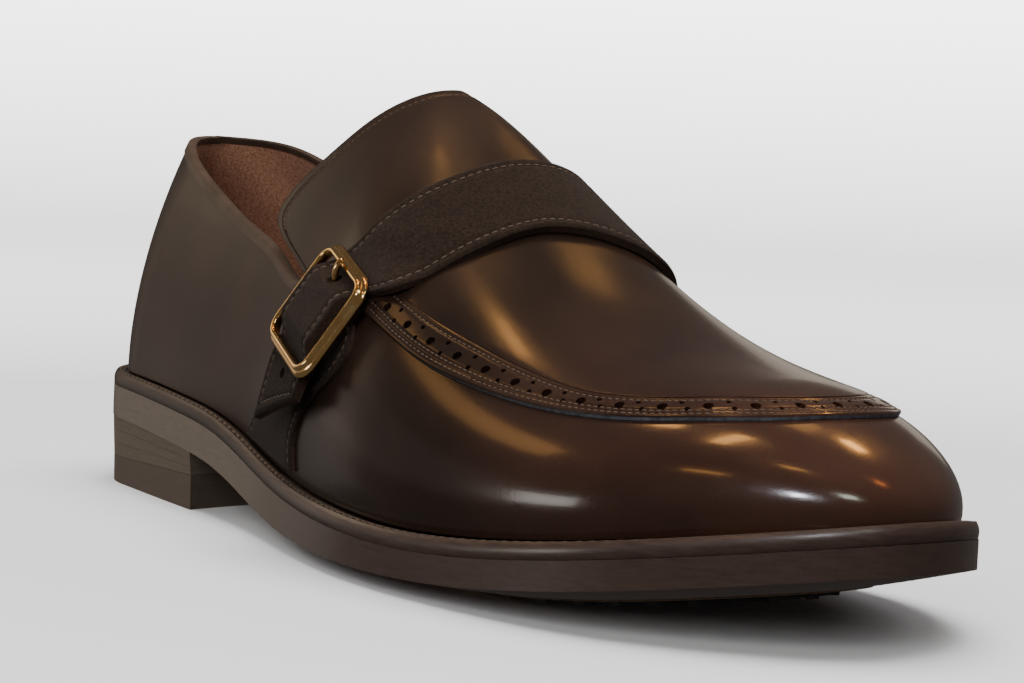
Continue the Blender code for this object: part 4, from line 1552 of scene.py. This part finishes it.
def make_buckle():
    """Frame with a sloped, grooved outer face and a thin inner lip, its centre bar and its prong."""
    place = buckle_placement()
    matrix = np.array(place)
    size = (BUCKLE_LONG - BAR_WIDE, BUCKLE_WIDE - BAR_WIDE, BUCKLE_CORNER - BAR_WIDE / 2)
    points, ways = rounded_rectangle(*size)

    def lay(i, out, up):
        local = np.column_stack([points[i] + ways[i] * out, up])
        return local @ matrix[:3, :3].T + matrix[:3, 3]

    mesh = swept_ring(len(points), BAR_SECTION, lay)
    route = CENTRE_BAR_HALF + tuple((-across, up) for across, up in CENTRE_BAR_HALF[-2::-1])
    bar = [place @ Vector((0, across, up)) for across, up in route]
    join(mesh, bar_along(bar, [CENTRE_BAR] * len(bar), 10))
    piece("buckle_body", mesh, [brass], ["buckle"], sharp=55)
    prong = [place @ Vector((along, 0, up)) for along, up, _ in PRONG_ROUTE]
    prong = bar_along(prong, [radius for _, _, radius in PRONG_ROUTE], 14)
    piece("buckle_tongue_pin", prong, [brass], ["buckle_prong"], sharp=55)


def join(mesh, other):
    """Adds another bmesh, which it uses up."""
    data = bpy.data.meshes.new("joined")
    other.to_mesh(data)
    other.free()
    mesh.from_mesh(data)
    bpy.data.meshes.remove(data)


def bar_along(points, radii, sides):
    """A round bar through points, from circles bridged one to the next and closed at both ends."""
    mesh = bmesh.new()
    rings = []
    for i, (point, radius) in enumerate(zip(points, radii)):
        ahead = Vector(points[min(i + 1, len(points) - 1)]) - Vector(points[max(i - 1, 0)])
        turn = ahead.to_track_quat("Z", "Y").to_matrix().to_4x4()
        ring = bmesh.ops.create_circle(
            mesh,
            cap_ends=i in (0, len(points) - 1),
            segments=sides,
            radius=radius,
            matrix=Matrix.Translation(point) @ turn,
        )["verts"]
        rings.append(ring)
    for first, second in zip(rings, rings[1:]):
        edges = [e for e in mesh.edges if set(e.verts) <= set(first) or set(e.verts) <= set(second)]
        bmesh.ops.bridge_loops(mesh, edges=edges)
    return mesh


# ---------------------------------------------------------------- stage, lights, camera


def stage_part(name, profile, finish):
    """A turned part of the stage; it shines by itself, so neither the shoe nor the floor reflects it."""
    mesh = bmesh.new()
    verts = [mesh.verts.new((r, 0, z)) for r, z in profile]
    edges = [mesh.edges.new(pair) for pair in zip(verts, verts[1:])]
    bmesh.ops.spin(
        mesh,
        geom=verts + edges,
        cent=(0, 0, 0),
        axis=(0, 0, 1),
        angle=2 * np.pi,
        steps=96,
        use_merge=True,
    )
    bmesh.ops.remove_doubles(mesh, verts=mesh.verts, dist=1e-5)
    bmesh.ops.recalc_face_normals(mesh, faces=mesh.faces)
    made = mesh_object(name, mesh, [finish])
    made.data.shade_smooth()
    made.visible_glossy = False
    made.visible_diffuse = False


def make_stage():
    """A pale floor, and a backdrop that carries it on and curves up all round into a wall."""
    finish = pale_floor()
    table = 0.9
    flat = 2.6
    curve = 1.6
    height = 5.0
    stage_part("studio_floor", [(0.0, 0.0), (table, 0.0)], finish)
    profile = [(table, 0.0), (flat, 0.0)]
    for angle in np.linspace(0, np.pi / 2, 14)[1:]:
        profile.append((flat + curve * np.sin(angle), curve - curve * np.cos(angle)))
    profile.append((flat + curve, height))
    stage_part("studio_backdrop", profile, finish)


# Each lamp is named for what it does. It lies on the line from a place on the shoe (meets, from the
# back of the sole, in millimetres) in a direction, far metres off, and faces that place.
LAMP_COLUMNS = ("name", "meets", "towards", "far", "wide", "high", "watts", "colour", "mirrored")
LAMP_ROWS = (
    # Large softboxes that only fill: nothing glossy shows them.
    ("overhead_fill", (110, 0, 50), (0.0, 0.1, 1.0), 1.7, 1.8, 1.4, 54, "#ffffff", False),
    ("camera_side_fill", (190, 0, 40), (0.45, -0.8, 0.5), 1.6, 1.2, 0.9, 17, "#ffffff", False),
    ("rear_fill", (110, 0, 50), (-0.85, -0.2, 0.45), 1.6, 0.9, 0.8, 6, "#ffffff", False),
    ("inner_side_fill", (110, 0, 50), (0.1, 0.85, 0.5), 1.6, 1.0, 0.8, 8, "#ffffff", False),
    # Warm ceiling lamps, mirrored as small golden patches on the toe and the apron.
    ("warm_lamp_toe_left", (275, -25, 40), (-0.14, -0.03, 0.99), 1.6, 0.4, 0.11, 2.6, "#ffb868", True),
    ("warm_lamp_toe_far", (288, -5, 40), (-0.24, 0.61, 0.75), 1.7, 0.13, 0.12, 1.3, "#ffb45f", True),
    ("warm_lamp_toe_front", (287, -19, 36), (0.24, -0.14, 0.96), 1.7, 0.16, 0.08, 0.5, "#ffb45f", True),
    ("warm_lamp_toe_side", (275, -32, 34), (0.2, -0.62, 0.76), 1.7, 0.3, 0.06, 0.6, "#ffb45f", True),
    ("warm_panel_vamp", (198, -48, 48), (-0.56, -0.49, 0.67), 1.5, 0.3, 0.24, 0.7, "#ffb868", True),
    ("warm_panel_apron", (215, -35, 53), (-0.42, 0.0, 0.91), 1.6, 0.1, 0.2, 1.0, "#ffb868", True),
    ("warm_panel_instep", (201, -8, 69), (-0.31, 0.51, 0.8), 1.6, 0.18, 0.3, 0.4, "#ffb868", True),
    ("orange_lamp", (297, -5, 34), (0.23, 0.48, 0.84), 1.5, 0.14, 0.14, 0.5, "#ff8a3c", True),
    # White ones: a small bright lamp beside the camera, a window, and a low strip at the left.
    ("white_lamp", (290, -20, 31), (0.62, -0.55, 0.57), 1.2, 0.08, 0.1, 2.6, "#f2f4ff", True),
    ("window", (296, -13, 31), (0.69, -0.18, 0.7), 1.6, 0.24, 0.2, 2.0, "#eef5e4", True),
    ("low_strip", (252, -48, 24), (-0.35, -0.93, 0.09), 1.3, 0.5, 0.22, 2.0, "#fffaf2", True),
    # Soft panels that the quarter, the outer side and the buckle mirror.
    ("quarter_panel", (50, -32, 50), (-0.96, -0.28, 0.1), 1.2, 0.5, 0.4, 0.24, "#ffe2cc", True),
    ("side_panel", (200, -50, 30), (-0.75, -0.64, 0.12), 1.3, 1.0, 0.5, 0.22, "#ffe8dc", True),
    ("buckle_panel", (158, -51, 57), (-0.89, -0.3, 0.35), 1.2, 0.32, 0.3, 0.5, "#ffe6c0", True),
    # A low one for the upright sides of heel and waist, and one for the inner side.
    ("heel_panel", (90, -42, 20), (-0.97, -0.22, -0.1), 1.2, 0.5, 0.3, 0.12, "#fff0e0", True),
    ("inner_side_panel", (80, 40, 50), (-0.6, 0.8, 0.2), 1.3, 0.6, 0.3, 0.3, "#fff0dc", True),
)


def make_lights():
    world = bpy.data.worlds.new("studio")
    world.use_nodes = True
    back = world.node_tree.nodes["Background"]
    back.inputs["Color"].default_value = colour_of("#f0e6e0")
    back.inputs["Strength"].default_value = 0.12
    bpy.context.scene.world = world
    for row in LAMP_ROWS:
        lamp = dict(zip(LAMP_COLUMNS, row))
        data = bpy.data.lights.new(lamp["name"], "AREA")
        data.shape = "RECTANGLE"
        data.size = lamp["wide"]
        data.size_y = lamp["high"]
        data.energy = lamp["watts"]
        data.color = colour_of(lamp["colour"])[:3]
        towards = Vector(lamp["towards"]).normalized()
        meets = (Vector(lamp["meets"]) - Vector((ORIGIN_X, 0, 0))) * MM
        made = bpy.data.objects.new(lamp["name"], data)
        made.location = meets + towards * lamp["far"]
        made.rotation_euler = towards.to_track_quat("Z", "Y").to_euler()
        made.visible_glossy = lamp["mirrored"]
        made.visible_diffuse = not lamp["mirrored"]
        bpy.context.collection.objects.link(made)


CAMERA_PLACE = (0.5996, -0.3351, 0.0903)  # low, in front of the toe and on the outer side
CAMERA_AIM = (0.1438, -0.0140, 0.0520)
CAMERA_ROLL = 2.67  # degrees
CAMERA_LENS = 86.2
SENSOR = 36.0


def make_camera():
    data = bpy.data.cameras.new("camera")
    data.sensor_width = SENSOR
    data.lens = CAMERA_LENS
    camera = bpy.data.objects.new("camera", data)
    look = Vector(CAMERA_AIM) - Vector(CAMERA_PLACE)
    turn = look.to_track_quat("-Z", "Y").to_matrix()
    turn = turn @ Matrix.Rotation(np.radians(CAMERA_ROLL), 3, "Z")
    camera.matrix_world = Matrix.Translation(CAMERA_PLACE) @ turn.to_4x4()
    bpy.context.collection.objects.link(camera)
    bpy.context.scene.camera = camera


def finish_insole():
    """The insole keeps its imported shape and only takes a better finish."""
    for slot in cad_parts["insole"].material_slots:
        slot.material = sock


make_camera()
make_outsole()
make_welt()
make_heel()
make_grip()
make_upper()
make_collar()
make_tongue()
make_apron()
make_strap()
make_side_anchor()
make_buckle()
finish_insole()
make_stage()
make_lights()
